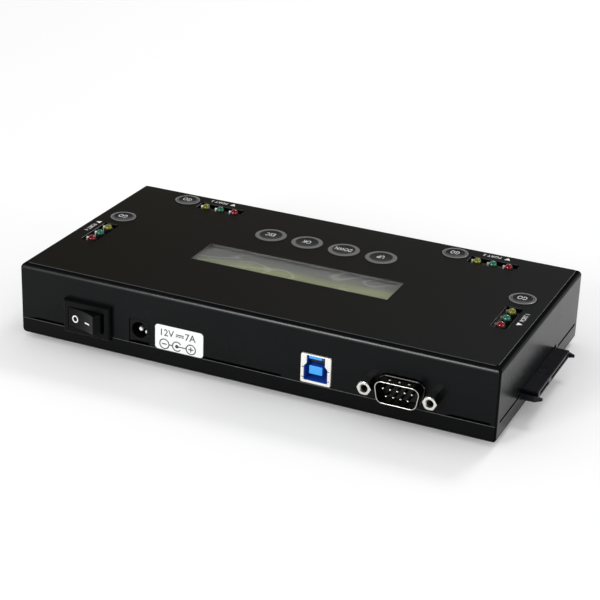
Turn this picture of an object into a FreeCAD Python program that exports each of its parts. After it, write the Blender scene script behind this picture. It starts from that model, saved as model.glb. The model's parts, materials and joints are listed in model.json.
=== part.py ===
import FreeCAD, Part
import math
import os
from FreeCAD import Vector

# Four-port drive duplicator, in millimetres.
# Origin: on the resting plane, under the middle of the case. +Z is up, the connector
# panel faces -Y, ports 1 and 4 face +X and -X, ports 2 and 3 face +Y.
# Levels named bottom, top or level are measured from the pan's underside, unless said.

# ---- case ----
case_width = 194.8
case_depth = 99.0
case_height = 29.8          # underside of the pan to the top of the control overlay
sheet = 1.0                 # steel thickness of the cover and the pan
cover_bend = 1.9            # outer bend radius along the cover's top edges
pan_bend = 2.0              # outer bend radius along the pan's bottom edges
wall_corner = 0.8           # rounding of the upright corners
seam_height = 6.9           # top edge of the pan above its underside
seam_gap = 0.25
relief_depth = 0.4          # shallow relief along the cover's lower edge
relief_end = 4.0            # from a corner of the case to the end of a relief
strip_thickness = 0.8       # strips welded inside the pan that locate the cover
strip_rise = 2.6
strip_gap = 1.0             # from the end of a strip to a connector or a corner

# ---- how round outlines are drawn: with short flats, so the model stays light ----
round_sides = 22            # keys and feet
head_sides = 10             # screw heads and lamps
bore_sides = 8              # screw shanks, bores and pins
corner_steps = 3            # flats in a rounded corner

# ---- feet, posts and screws ----
foot_height = 1.6
foot_radius = 4.5
foot_edge = 0.35
foot_inset_x = 15.0
foot_inset_y = 13.5
post_radius = 2.75
post_inset = 7.4            # from the walls' outer faces
post_clearance = 1.35       # between a post and the boards' notches
standoff_radius = 2.5
screw_radius = 1.5
screw_fit = 0.05            # radial, in boards, sheet and posts
screw_head_radius = 2.6
screw_head_height = 1.2
case_screw_bite = 5.0       # length inside the post
main_screw_bite = 2.4
control_screw_bite = 4.0
bore_end_gap = 0.4

# ---- boards ----
board_thickness = 1.6
main_board_rise = 3.4       # pan floor to the underside of the main board
main_board_margin_x = 5.4   # from the case's outer faces
main_board_margin_y = 3.5
main_standoff_inset_x = 28.0
main_standoff_inset_y = 18.0
control_board_margin_x = 4.4
control_board_margin_y = 4.0
control_board_level = 21.6  # its top face
control_standoff_inset_x = 27.0
control_standoff_inset_y = 18.5
link_width = 27.0           # header between the two boards
link_depth = 5.0
link_inset_y = 17.5
link_edge = 0.4

# ---- control panel ----
overlay_thickness = 0.25
overlay_inset = 1.9
overlay_corner = 1.0
panel_x = -0.5              # centre line of the printed layout
window_width = 82.3
window_depth = 17.3
window_y = -5.6
window_flange = 0.9         # how far the pane reaches under the overlay
window_fit = 0.1
bezel_width = 97.0
bezel_depth = 25.0
bezel_height = 5.0
bezel_wall = 0.6
bezel_corner = 0.8
bezel_opening_margin = 0.4
glass_thickness = 2.8
glass_fit = 0.2             # all round, inside the bezel
backlight_fit = 0.5
display_board_width = 116.0
display_board_depth = 37.0
display_board_gap = 0.3

menu_keys = ("esc", "ok", "down", "up")
menu_pitch = 16.0
menu_row_gap = 27.7         # from the window's middle to the menu keys
menu_key_radius = 6.3
go_key_radius = 5.4
key_rise = 0.35             # top of a key above the overlay
menu_key_rim = 1.8          # width of the sloping rim round a key's face
go_key_rim = 1.4
key_rim_drop = 0.2          # outer edge of the rim below the face
key_travel = 0.35
key_gap = 0.2               # all round a key in its hole
key_flange = 0.9            # how far the square flange reaches past the hole
key_flange_thickness = 0.6
key_stop_gap = 0.05

tact_size = 6.0
tact_height = 3.5
plunger_side = 3.0
plunger_fit = 0.1
plunger_depth = 1.6         # length inside the switch
plunger_end_gap = 0.15      # left under a pressed plunger

led_radius = 1.5
led_pitch = 6.5
led_rise = 1.0              # top of the lens above the overlay
led_body = 5.3
led_shoulder_radius = 1.2   # of the lens half way up its dome
led_tip_radius = 0.55
led_fit = 0.1
led_slot_width = 6.6
led_slot_length = 20.0
led_slot_corner = 1.0
led_slot_relief = 0.3       # the cover's slots are larger than the overlay's, all round
led_holder_margin = 1.0
led_holder_clearance = 0.15 # under the lowest point of a key's flange

# ---- drive ports (22-way: 15 power and 7 signal contacts) ----
side_port_y = -1.2
far_port_inset = 37.4       # from the side walls' outer faces
go_offset = 12.2            # from the middle of a port to its GO key
side_led_offset = -6.7
far_led_offset = 4.4
side_go_inset = 11.5
far_go_inset = 8.8
far_led_inset = 11.3
slab_width = 39.1
slab_reach = 6.1            # beyond the wall
slab_bottom = 6.25
slab_top = 9.3
slab_edge = 0.25
ear_width = 1.5
ear_gap = 0.45
ear_bottom = 5.8
ear_top = 7.9
ear_root = 5.2              # where the arm starts to narrow
ear_reach = 8.0
ear_tip_bottom = 6.5
ear_tip_top = 7.4
ear_tip_width = 0.6
web_height = 0.9            # joins an ear to the slab
web_reach = 3.2
slot_height = 1.3
slot_depth = 6.5
power_slot_start = -3.6
power_slot_end = 17.6
power_contacts = 15
signal_slot_start = -17.6
signal_slot_end = -6.6
signal_contacts = 7
slot_leg = 1.2
slot_leg_drop = 0.45
contact_pitch = 1.27
contact_width = 0.7
contact_thickness = 0.25
contact_inset = 0.9
port_body_width = 43.4
port_body_length = 8.4
port_body_height = 4.6
port_cutout_clear = 0.45

# ---- power switch ----
switch_inset = 30.3         # from the panel's left end
switch_level = 12.85
switch_bezel_width = 20.0
switch_bezel_height = 13.6
switch_bezel_proud = 2.3
switch_bezel_edge = 0.5
switch_body_width = 18.4
switch_body_height = 11.9
switch_body_length = 13.0
switch_fit = 0.05
well_width = 15.6
well_height = 8.4
well_depth = 9.0
rocker_throw = 30.0         # degrees
rocker_side_gap = 0.2
rocker_pivot_depth = 2.6    # behind the bezel's face
rocker_tip_x = 6.57         # outline of the level rocker, from its pivot
rocker_tip_rise = 4.66
rocker_valley = 3.75        # rise of the hollow face at its middle
rocker_face_steps = 6       # flats across the hollow face
rocker_shoulder_x = 7.3
rocker_shoulder_rise = 1.5
rocker_heel_x = 7.1
rocker_heel_drop = 1.2
rocker_keel_x = 3.4
rocker_keel_drop = 3.4
rocker_tip_round = 0.4
trunnion_radius = 0.8
trunnion_length = 0.9
trunnion_fit = 0.06
trunnion_end_gap = 0.2
terminal_width = 4.8
terminal_thickness = 0.8
terminal_length = 7.0       # behind the switch
terminal_root = 1.2         # inside the switch
terminal_pitch = 9.0

# ---- direct-current jack ----
jack_pitch = 21.9           # from the switch's middle
jack_face_width = 8.2
jack_face_bottom = 7.0
jack_face_top = 16.7
jack_body_width = 9.0
jack_length = 13.0
jack_recess = 0.2
jack_gap = 0.25             # between the jack's face and the panel's cut-out
jack_bore_level = 12.6
jack_bore_radius = 3.25
jack_bore_depth = 9.5
jack_pin_radius = 1.05
jack_pin_setback = 1.0
jack_pin_edge = 0.5
jack_tail_radius = 0.7
jack_tail = 1.0             # length of the pin's tail behind the jack
spring_setback = 2.1
spring_half_height = 1.0
spring_inner = 2.2          # from the bore's axis to the middle of the spring
spring_bulge = 1.3
spring_thickness = 0.3
spring_fit = 0.1

# ---- USB type B socket, 9-way ----
usb_pitch = 33.5            # from the serial connector's middle
usb_width = 12.0
usb_bottom = 7.3
usb_top = 18.95
usb_proud = 0.4
usb_length = 17.0
usb_wall = 0.4
usb_corner = 0.5
usb_gap = 0.25
usb_mouth_width = 8.8
usb_mouth_bottom = 8.35
usb_mouth_shoulder = 14.0
usb_mouth_neck = 15.2
usb_mouth_neck_width = 7.25
usb_mouth_top = 18.5
usb_well_depth = 10.0
usb_tongue_width = 5.0
usb_tongue_bottom = 10.8
usb_tongue_top = 14.0
usb_tongue_edge = 0.3
usb_tongue_setback = 1.2
usb_tongue_root = 0.5       # inside the floor of the well
usb_upper_tongue_width = 5.6
usb_upper_tongue_bottom = 16.9
usb_upper_tongue_top = 18.0
usb_contact_width = 0.6
usb_contact_thickness = 0.12
usb_contact_setback = 0.5
usb_contact_root = 1.5
usb_contact_spread = 2.5
usb_upper_contacts = 5
usb_upper_contact_pitch = 1.1
usb_leg_start = 8.0
usb_leg_length = 2.0
usb_leg_lap = 2.0

# ---- serial connector, 9-way male ----
serial_inset = 36.0         # from the panel's right end
serial_level = 13.1
serial_width = 17.4
serial_height = 8.5
serial_slant = 10.0         # degrees
serial_corner = 2.6
serial_wall = 0.5
serial_proud = 5.5
serial_collar = 0.8
serial_collar_proud = 0.6
serial_collar_edge = 0.5
serial_collar_gap = 0.3
serial_flange_width = 30.8
serial_flange_height = 12.4
serial_flange_thickness = 0.8
serial_flange_corner = 1.5
insulator_proud = 0.2
serial_body_width = 19.0
serial_body_height = 10.4
serial_body_length = 7.5
serial_foot_start = 3.8
pin_pitch = 2.77
pin_row_gap = 2.84
pin_radius = 0.5
pin_edge = 0.25
pin_setback = 0.6
pin_tail = 1.4              # length of a pin behind the insulator
jackscrew_span = 25.0
jackscrew_across_flats = 4.9
jackscrew_length = 5.5
jackscrew_stud_radius = 1.4
jackscrew_stud_length = 3.8
jackscrew_stud_gap = 0.2
jackscrew_hole_radius = 1.2
jackscrew_hole_depth = 5.0

# ---- derived levels, above the resting plane ----
underside = foot_height
pan_floor = underside + sheet
pan_top = underside + seam_height
cover_low = pan_top + seam_gap
overlay_top = underside + case_height
cover_top = overlay_top - overlay_thickness
cover_ceiling = cover_top - sheet
main_board_bottom = pan_floor + main_board_rise
main_board_top = main_board_bottom + board_thickness
control_board_top = underside + control_board_level
control_board_bottom = control_board_top - board_thickness
key_flange_top = cover_ceiling - key_stop_gap
key_flange_low = key_flange_top - key_flange_thickness
led_top = overlay_top + led_rise
led_base = led_top - led_body
led_holder_top = key_flange_low - key_travel - led_holder_clearance
slot_floor = underside + (slab_bottom + slab_top - slot_height) / 2
switch_z = underside + switch_level
jack_z = underside + jack_bore_level
serial_z = underside + serial_level

# ---- derived planes and middles ----
half_width = case_width / 2
half_depth = case_depth / 2
panel_y = -half_depth                       # outer face of the connector panel
inner_panel_y = panel_y + sheet
post_x = half_width - post_inset
post_y = half_depth - post_inset
far_port_x = half_width - far_port_inset
switch_x = -half_width + switch_inset
jack_x = switch_x + jack_pitch
serial_x = half_width - serial_inset
usb_x = serial_x - usb_pitch
switch_face_y = panel_y - switch_bezel_proud
pivot_y = switch_face_y + rocker_pivot_depth
jack_face_y = panel_y + jack_recess
usb_face_y = panel_y - usb_proud
usb_insert_y = usb_face_y + usb_wall
usb_tongue_y = usb_insert_y + usb_tongue_setback
serial_mouth_y = panel_y - serial_proud
flange_back_y = inner_panel_y + serial_flange_thickness
main_board_size = (case_width - 2 * main_board_margin_x, case_depth - 2 * main_board_margin_y)
control_board_size = (case_width - 2 * control_board_margin_x,
                      case_depth - 2 * control_board_margin_y)
main_standoff_at = (main_board_size[0] / 2 - main_standoff_inset_x,
                    main_board_size[1] / 2 - main_standoff_inset_y)
control_standoff_at = (control_board_size[0] / 2 - control_standoff_inset_x,
                       control_board_size[1] / 2 - control_standoff_inset_y)
over = 1.0                                  # how far a cutter runs past a face


# ---- outlines: lists of (x, y) or (x, z) points ----
def rectangle(x, y, width, depth):
    return [(x - width / 2, y - depth / 2), (x + width / 2, y - depth / 2),
            (x + width / 2, y + depth / 2), (x - width / 2, y + depth / 2)]


def circle(x, y, radius, sides):
    turns = [2 * math.pi * (i + 0.5) / sides for i in range(sides)]
    return [(x + radius * math.cos(t), y + radius * math.sin(t)) for t in turns]


def softened(corners, radius):
    """The outline with each corner rounded to the radius by a few short flats."""
    outline = []
    for i, corner in enumerate(corners):
        here = Vector(*corner)
        to_last = (Vector(*corners[i - 1]) - here).normalize()
        to_next = (Vector(*corners[(i + 1) % len(corners)]) - here).normalize()
        half = to_last.getAngle(to_next) / 2
        centre = here + (to_last + to_next).normalize() * (radius / math.sin(half))
        start = here + to_last * (radius / math.tan(half)) - centre
        sweep = math.copysign(math.pi - 2 * half, to_next.cross(to_last).z)
        for step in range(corner_steps + 1):
            turn = sweep * step / corner_steps
            outline.append((centre.x + start.x * math.cos(turn) - start.y * math.sin(turn),
                            centre.y + start.x * math.sin(turn) + start.y * math.cos(turn)))
    return outline


# ---- solids ----
def level_wire(outline, z):
    corners = [Vector(x, y, z) for x, y in outline]
    return Part.makePolygon(corners + [corners[0]])


def upright_wire(outline, y):
    corners = [Vector(x, y, z) for x, z in outline]
    return Part.makePolygon(corners + [corners[0]])


def prism(outline, z0, z1):
    return Part.Face(level_wire(outline, z0)).extrude(Vector(0, 0, z1 - z0))


def prism_y(outline, y0, y1):
    return Part.Face(upright_wire(outline, y0)).extrude(Vector(0, y1 - y0, 0))


def tapered(x, y, levels, sides):
    """A faceted turned solid about the upright through (x, y); levels are (radius, z)."""
    rings = [[Vector(px, py, z) for px, py in circle(x, y, r, sides)] for r, z in levels]
    panels = [rings[0][::-1], rings[-1]]
    for low, high in zip(rings, rings[1:]):
        panels += [[low[i - 1], low[i], high[i], high[i - 1]] for i in range(sides)]
    shell = Part.Shell([Part.Face(Part.makePolygon(p + [p[0]])) for p in panels])
    return Part.Solid(shell)


def box(x0, x1, y0, y1, z0, z1):
    return Part.makeBox(x1 - x0, y1 - y0, z1 - z0, Vector(x0, y0, z0))


def centred(x, y, width, depth, z0, z1):
    return box(x - width / 2, x + width / 2, y - depth / 2, y + depth / 2, z0, z1)


def rod(x, y, z0, z1, radius):
    return Part.makeCylinder(radius, z1 - z0, Vector(x, y, z0))


def rod_y(x, z, y0, y1, radius):
    return Part.makeCylinder(radius, y1 - y0, Vector(x, y0, z), Vector(0, 1, 0))


def edges_along(shape, axis):
    found = []
    for e in shape.Edges:
        b = e.BoundBox
        spans = [b.XLength, b.YLength, b.ZLength]
        along = spans.pop(axis)
        if along > 1e-4 and max(spans) < 1e-4:
            found.append(e)
    return found


def edges_at(shape, axis, value):
    found = []
    for e in shape.Edges:
        b = e.BoundBox
        low = (b.XMin, b.YMin, b.ZMin)[axis]
        high = (b.XMax, b.YMax, b.ZMax)[axis]
        if abs(low - value) < 1e-4 and abs(high - value) < 1e-4:
            found.append(e)
    return found


def joined(shapes):
    return shapes[0].fuse(shapes[1:]).removeSplitter()


def group(shapes):
    return Part.makeCompound(list(shapes))


def mirrored(values):
    return [sign * value for sign in (-1, 1) for value in values]


def corners_of(x, y):
    return [(sx * x, sy * y) for sx in (-1, 1) for sy in (-1, 1)]


def write(name, shape):
    shape.exportStep("parts/%s.step" % name)


# ---- layout of ports, keys and status lamps ----
# port number: (middle of the port on the wall, turn of the port about Z)
ports = {
    1: (half_width, side_port_y, 0),
    2: (far_port_x, half_depth, 90),
    3: (-far_port_x, half_depth, 90),
    4: (-half_width, side_port_y, 180),
}
go_places = {
    1: (panel_x + half_width - side_go_inset, side_port_y + go_offset),
    2: (far_port_x - go_offset, half_depth - far_go_inset),
    3: (-far_port_x - go_offset, half_depth - far_go_inset),
    4: (panel_x - half_width + side_go_inset, side_port_y + go_offset),
}
# port number: (middle of the row, step from yellow to green to red)
led_rows = {
    1: (go_places[1][0], side_port_y + side_led_offset, 0, -led_pitch),
    2: (far_port_x + far_led_offset, half_depth - far_led_inset, led_pitch, 0),
    3: (-far_port_x + far_led_offset, half_depth - far_led_inset, led_pitch, 0),
    4: (go_places[4][0], side_port_y + side_led_offset, 0, -led_pitch),
}
# key: (x, y, radius)
key_places = {}
for index, word in enumerate(menu_keys):
    along = (index - (len(menu_keys) - 1) / 2) * menu_pitch
    key_places[word] = (panel_x + along, window_y + menu_row_gap, menu_key_radius)
for port, (go_x, go_y) in go_places.items():
    key_places["go_%d" % port] = (go_x, go_y, go_key_radius)


def led_row_outline(port, length, width):
    """A rectangle round a row of lamps, length along the row."""
    x, y, step_x, _ = led_rows[port]
    return rectangle(x, y, length, width) if step_x else rectangle(x, y, width, length)


def led_slot_outline(port, margin):
    return led_row_outline(port, led_slot_length + 2 * margin, led_slot_width + 2 * margin)


def at_port(shape, port):
    """Moves a shape built at a +X wall (outer face at x = 0) to its port."""
    x, y, turn = ports[port]
    moved = shape.copy()
    moved.rotate(Vector(0, 0, 0), Vector(0, 0, 1), turn)
    moved.translate(Vector(x, y, 0))
    return moved


def port_cutout(port, z0, z1):
    half = slab_width / 2 + ear_gap + ear_width + port_cutout_clear
    return at_port(box(-sheet - over, over, -half, half, z0, z1), port)


# ---- sheet metal ----
def sheet_box(z0, z1, folded_z, bend):
    """The outer form of a folded tray or cover; the edges at folded_z are bent."""
    form = centred(0, 0, case_width, case_depth, z0, z1)
    form = form.makeFillet(wall_corner, edges_along(form, 2))
    return form.makeFillet(bend, edges_at(form, 2, folded_z))


def sheet_hollow(z0, z1, folded_z, bend):
    form = centred(0, 0, case_width - 2 * sheet, case_depth - 2 * sheet, z0, z1)
    return form.makeChamfer(bend - sheet, edges_at(form, 2, folded_z))


def locating_strips():
    """Strips that stand up inside the seam wherever no connector passes."""
    low = pan_floor + pan_bend
    high = pan_top + strip_rise
    strip_x = half_width - sheet - strip_thickness
    strip_y = half_depth - sheet - strip_thickness
    end_x = half_width - sheet - pan_bend - strip_gap
    end_y = half_depth - sheet - pan_bend - strip_gap
    port_half = port_body_width / 2 + strip_gap
    panel_runs = [
        (-end_x, switch_x - switch_bezel_width / 2 - strip_gap),
        (jack_x + jack_body_width / 2 + strip_gap, usb_x - usb_width / 2 - strip_gap),
        (serial_x + serial_flange_width / 2 + strip_gap, end_x),
    ]
    far_runs = [
        (-end_x, -far_port_x - port_half),
        (-far_port_x + port_half, far_port_x - port_half),
        (far_port_x + port_half, end_x),
    ]
    side_runs = [(-end_y, side_port_y - port_half), (side_port_y + port_half, end_y)]
    strips = [box(x0, x1, -strip_y - strip_thickness, -strip_y, low, high)
              for x0, x1 in panel_runs]
    strips += [box(x0, x1, strip_y, strip_y + strip_thickness, low, high)
               for x0, x1 in far_runs]
    for x0 in (-strip_x - strip_thickness, strip_x):
        strips += [box(x0, x0 + strip_thickness, y0, y1, low, high) for y0, y1 in side_runs]
    return strips


def base_pan():
    pan = sheet_box(underside, pan_top, underside, pan_bend)
    pan = pan.cut(sheet_hollow(pan_floor, pan_top + over, pan_floor, pan_bend))
    pan = joined([pan] + locating_strips())
    holes = [prism(circle(x, y, screw_radius + screw_fit, bore_sides), underside - over,
                   pan_floor + over) for x, y in corners_of(post_x, post_y)]
    sill = underside + ear_bottom - port_cutout_clear
    gates = [port_cutout(port, sill, pan_top + strip_rise + over) for port in ports]
    return pan.cut(holes + gates)


def top_openings():
    """Cutters for the window, the keys and the lamp slots, through the top sheet."""
    z0, z1 = cover_ceiling - over, cover_top + over
    margin = 2 * (window_flange + window_fit)
    cuts = [centred(panel_x, window_y, window_width + margin, window_depth + margin, z0, z1)]
    cuts += [prism(circle(x, y, r + key_gap, round_sides), z0, z1)
             for x, y, r in key_places.values()]
    cuts += [prism(led_slot_outline(port, led_slot_relief), z0, z1) for port in ports]
    return cuts


def panel_openings():
    """Cutters for the switch and the three connectors, through the panel."""
    y0, y1 = panel_y - over, inner_panel_y + over
    low = cover_low - over
    half = switch_body_width / 2 + switch_fit
    switch_top = switch_z + switch_body_height / 2 + switch_fit
    cuts = [box(switch_x - half, switch_x + half, y0, y1, low, switch_top)]
    half = jack_face_width / 2 + jack_gap
    cuts.append(box(jack_x - half, jack_x + half, y0, y1, low,
                    underside + jack_face_top + jack_gap))
    half = usb_width / 2 + usb_gap
    cuts.append(box(usb_x - half, usb_x + half, y0, y1, low, underside + usb_top + usb_gap))
    cuts.append(prism_y(d_outline(serial_collar + serial_collar_gap), y0, y1))
    cuts += [prism_y(circle(x, serial_z, jackscrew_stud_radius + jackscrew_stud_gap,
                            bore_sides), y0, y1) for x in jackscrew_places()]
    return cuts


def cover_reliefs():
    """A shallow relief along the lower edge, on both sides and left of the switch."""
    low, high = cover_low - over, cover_low + relief_depth
    end_x = half_width - relief_end
    end_y = half_depth - relief_end
    port_half = slab_width / 2
    cuts = [box(-end_x, switch_x, panel_y - over, inner_panel_y + over, low, high)]
    for x0 in (-half_width - over, half_width - sheet - over):
        x1 = x0 + sheet + 2 * over
        cuts.append(box(x0, x1, -end_y, side_port_y - port_half, low, high))
        cuts.append(box(x0, x1, side_port_y + port_half, end_y, low, high))
    return cuts


def top_cover():
    cover = sheet_box(cover_low, cover_top, cover_top, cover_bend)
    cover = cover.cut(sheet_hollow(cover_low - over, cover_ceiling, cover_ceiling, cover_bend))
    arch = underside + slab_top + port_cutout_clear
    gates = [port_cutout(port, cover_low - over, arch) for port in ports]
    return cover.cut(top_openings() + panel_openings() + cover_reliefs() + gates)


# ---- feet, posts and fasteners ----
def rubber_feet():
    levels = [(foot_radius - foot_edge, 0), (foot_radius, foot_edge), (foot_radius, underside)]
    places = corners_of(half_width - foot_inset_x, half_depth - foot_inset_y)
    return group(tapered(x, y, levels, round_sides) for x, y in places)


def between(a, b):
    return min(a, b), max(a, b)


def standoff(x, y, seat, end, radius, bite):
    """A hexagonal post from its screwed face, seat, to its far end, with a blind bore."""
    way = math.copysign(1, end - seat)
    post = prism(circle(x, y, radius, 6), *between(seat, end))
    bore = prism(circle(x, y, screw_radius + screw_fit, bore_sides),
                 *between(seat, seat + way * (bite + bore_end_gap)))
    return post.cut(bore)


def screw(x, y, seat, length, way):
    """A screw with its head behind the seat and its shank along way, +1 up or -1 down."""
    head = prism(circle(x, y, screw_head_radius, head_sides),
                 *between(seat, seat - way * screw_head_height))
    shank = prism(circle(x, y, screw_radius, bore_sides), *between(seat, seat + way * length))
    return joined([head, shank])


def cover_posts():
    return group(standoff(x, y, pan_floor, cover_ceiling, post_radius, case_screw_bite)
                 for x, y in corners_of(post_x, post_y))


def main_standoffs():
    return group(standoff(x, y, main_board_bottom, pan_floor, standoff_radius, main_screw_bite)
                 for x, y in corners_of(*main_standoff_at))


def control_standoffs():
    return group(standoff(x, y, control_board_top, cover_ceiling, standoff_radius,
                          control_screw_bite) for x, y in corners_of(*control_standoff_at))


def case_screws():
    return group(screw(x, y, underside, sheet + case_screw_bite, 1)
                 for x, y in corners_of(post_x, post_y))


def board_screws():
    low = [screw(x, y, main_board_top, board_thickness + main_screw_bite, -1)
           for x, y in corners_of(*main_standoff_at)]
    high = [screw(x, y, control_board_bottom, board_thickness + control_screw_bite, 1)
            for x, y in corners_of(*control_standoff_at)]
    return group(low + high)


# ---- boards ----
def board(size, z0, z1, screws):
    """A board with its corners notched round the cover's posts."""
    notch = post_inset + post_radius + post_clearance
    plate = centred(0, 0, *size, z0, z1)
    cuts = [centred(x, y, 2 * notch, 2 * notch, z0 - over, z1 + over)
            for x, y in corners_of(half_width, half_depth)]
    cuts += [prism(circle(x, y, screw_radius + screw_fit, bore_sides), z0 - over, z1 + over)
             for x, y in corners_of(*screws)]
    return plate.cut(cuts)


def main_board():
    return board(main_board_size, main_board_bottom, main_board_top, main_standoff_at)


def control_board():
    return board(control_board_size, control_board_bottom, control_board_top,
                 control_standoff_at)


def board_link():
    block = centred(0, half_depth - link_inset_y, link_width, link_depth, main_board_top,
                    control_board_bottom)
    return block.makeChamfer(link_edge, edges_along(block, 2))


# ---- display ----
def display_window():
    lower = centred(panel_x, window_y, window_width + 2 * window_flange,
                    window_depth + 2 * window_flange, cover_ceiling, cover_top)
    upper = centred(panel_x, window_y, window_width - 2 * window_fit,
                    window_depth - 2 * window_fit, cover_top, overlay_top)
    return joined([lower, upper])


def inside_bezel(fit, z0, z1):
    margin = 2 * (bezel_wall + fit)
    return centred(panel_x, window_y, bezel_width - margin, bezel_depth - margin, z0, z1)


def display_bezel():
    low = cover_ceiling - bezel_height
    frame = centred(panel_x, window_y, bezel_width, bezel_depth, low, cover_ceiling)
    frame = frame.makeChamfer(bezel_corner, edges_along(frame, 2))
    hollow = inside_bezel(0, low - over, cover_ceiling - bezel_wall)
    opening = centred(panel_x, window_y, window_width + 2 * bezel_opening_margin,
                      window_depth + 2 * bezel_opening_margin, low, cover_ceiling + over)
    return frame.cut([hollow, opening])


def display_glass():
    top = cover_ceiling - bezel_wall
    return inside_bezel(glass_fit, top - glass_thickness, top)


def display_backlight():
    top = cover_ceiling - bezel_wall - glass_thickness
    return inside_bezel(backlight_fit, cover_ceiling - bezel_height, top)


def display_board():
    return centred(panel_x, window_y, display_board_width, display_board_depth,
                   control_board_top + display_board_gap, cover_ceiling - bezel_height)


# ---- control overlay, keys and lamps ----
def control_overlay():
    outline = rectangle(0, 0, case_width - 2 * overlay_inset, case_depth - 2 * overlay_inset)
    film = prism(softened(outline, overlay_corner), cover_top, overlay_top)
    z0, z1 = cover_top - over, overlay_top + over
    cuts = [centred(panel_x, window_y, window_width, window_depth, z0, z1)]
    cuts += [prism(circle(x, y, r + key_gap, round_sides), z0, z1)
             for x, y, r in key_places.values()]
    cuts += [prism(softened(led_slot_outline(port, 0), led_slot_corner), z0, z1)
             for port in ports]
    return film.cut(cuts)


def key_cap(x, y, radius, rim):
    """A round cap with a sloping rim, on a square flange that stops it under the cover."""
    top = overlay_top + key_rise
    side = 2 * (radius + key_gap + key_flange)
    flange = centred(x, y, side, side, key_flange_low, key_flange_top)
    levels = [(radius, key_flange_top), (radius, top - key_rim_drop), (radius - rim, top)]
    return joined([flange, tapered(x, y, levels, round_sides)])


def plunger(x, y):
    low = control_board_top + tact_height - plunger_depth
    return centred(x, y, plunger_side, plunger_side, low, key_flange_low)


def tact_switches():
    top = control_board_top + tact_height
    floor = top - plunger_depth - key_travel - plunger_end_gap
    well = plunger_side + 2 * plunger_fit
    return group(centred(x, y, tact_size, tact_size, control_board_top, top).cut(
        centred(x, y, well, well, floor, top + over)) for x, y, _ in key_places.values())


def status_leds(place):
    """The lamps of one colour; place is 0 for yellow, 1 for green and 2 for red."""
    middle = led_top - led_radius / 2
    levels = [(led_radius, led_base), (led_radius, led_top - led_radius),
              (led_shoulder_radius, middle), (led_tip_radius, led_top)]
    shapes = []
    for x, y, step_x, step_y in led_rows.values():
        steps = place - 1
        shapes.append(tapered(x + steps * step_x, y + steps * step_y, levels, head_sides))
    return group(shapes)


def led_holders():
    """Black blocks under the lamp slots, low enough for a pressed key's flange to pass."""
    reach = 2 * (led_radius + led_fit)
    shapes = []
    for port in ports:
        block = prism(led_slot_outline(port, led_holder_margin), control_board_top,
                      led_holder_top)
        channel = prism(led_row_outline(port, 2 * led_pitch + reach, reach), led_base,
                        led_holder_top + over)
        shapes.append(block.cut(channel))
    return group(shapes)


# ---- drive ports ----
def contact_places():
    runs = ((power_slot_start, power_slot_end, power_contacts),
            (signal_slot_start, signal_slot_end, signal_contacts))
    places = []
    for start, end, count in runs:
        first = (start + end - (count - 1) * contact_pitch) / 2
        places += [first + i * contact_pitch for i in range(count)]
    return places


def port_slot(start, end):
    """An L-shaped socket: a flat slot with a short leg down at its +y end."""
    x0, x1 = slab_reach - slot_depth, slab_reach + over
    top = slot_floor + slot_height
    flat = box(x0, x1, start, end, slot_floor, top)
    leg = box(x0, x1, end - slot_leg, end, slot_floor - slot_leg_drop, top)
    return joined([flat, leg])


def port_ear():
    """The guide arm beside the slab on its +y side, which narrows to a blunt point."""
    low, high = underside + ear_bottom, underside + ear_top
    inner = slab_width / 2 + ear_gap
    outer = inner + ear_width
    plan = [(-sheet, inner), (ear_reach, inner), (ear_reach, inner + ear_tip_width),
            (ear_root, outer), (-sheet, outer)]
    side = [(-sheet, low), (ear_root, low), (ear_reach, underside + ear_tip_bottom),
            (ear_reach, underside + ear_tip_top), (ear_root, high), (-sheet, high)]
    arm = prism(plan, low, high).common(prism_y(side, inner, outer))
    web = box(-sheet, web_reach, slab_width / 2, inner, low, low + web_height)
    return joined([arm, web])


def port_housing():
    slab = box(-sheet, slab_reach, -slab_width / 2, slab_width / 2, underside + slab_bottom,
               underside + slab_top)
    slab = slab.makeChamfer(slab_edge, edges_at(slab, 0, slab_reach))
    back = box(-sheet - port_body_length, -sheet, -port_body_width / 2, port_body_width / 2,
               main_board_top, main_board_top + port_body_height)
    ear = port_ear()
    body = joined([slab, back, ear, ear.mirror(Vector(0, 0, 0), Vector(0, 1, 0))])
    return body.cut([port_slot(power_slot_start, power_slot_end),
                     port_slot(signal_slot_start, signal_slot_end)])


def port_contacts():
    strips = [box(slab_reach - slot_depth, slab_reach - contact_inset, y - contact_width / 2,
                  y + contact_width / 2, slot_floor, slot_floor + contact_thickness)
              for y in contact_places()]
    return group(at_port(strip, port) for port in ports for strip in strips)


# ---- power switch ----
def switch_block(width, height, y0, y1):
    return prism_y(rectangle(switch_x, switch_z, width, height), y0, y1)


def terminal_blades():
    y0 = panel_y + switch_body_length - terminal_root
    y1 = panel_y + switch_body_length + terminal_length
    return [prism_y(rectangle(switch_x + offset, switch_z, terminal_width, terminal_thickness),
                    y0, y1) for offset in mirrored([terminal_pitch / 2])]


def switch_housing():
    bezel = switch_block(switch_bezel_width, switch_bezel_height, switch_face_y, panel_y)
    bezel = bezel.makeChamfer(switch_bezel_edge, edges_at(bezel, 1, switch_face_y))
    body = switch_block(switch_body_width, switch_body_height, panel_y,
                        panel_y + switch_body_length)
    well = switch_block(well_width, well_height, switch_face_y - over,
                        switch_face_y + well_depth)
    reach = well_height / 2 + trunnion_length + trunnion_end_gap
    pivot = rod(switch_x, pivot_y, switch_z - reach, switch_z + reach,
                trunnion_radius + trunnion_fit)
    return joined([bezel, body]).cut([well, pivot] + terminal_blades())


def rocker_face():
    """The hollow face between the two tips: its rise grows with the square of x."""
    face = []
    for step in range(1, rocker_face_steps):
        share = 2 * step / rocker_face_steps - 1
        rise = rocker_valley + (rocker_tip_rise - rocker_valley) * share ** 2
        face.append((share * rocker_tip_x, rise))
    return face


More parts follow.
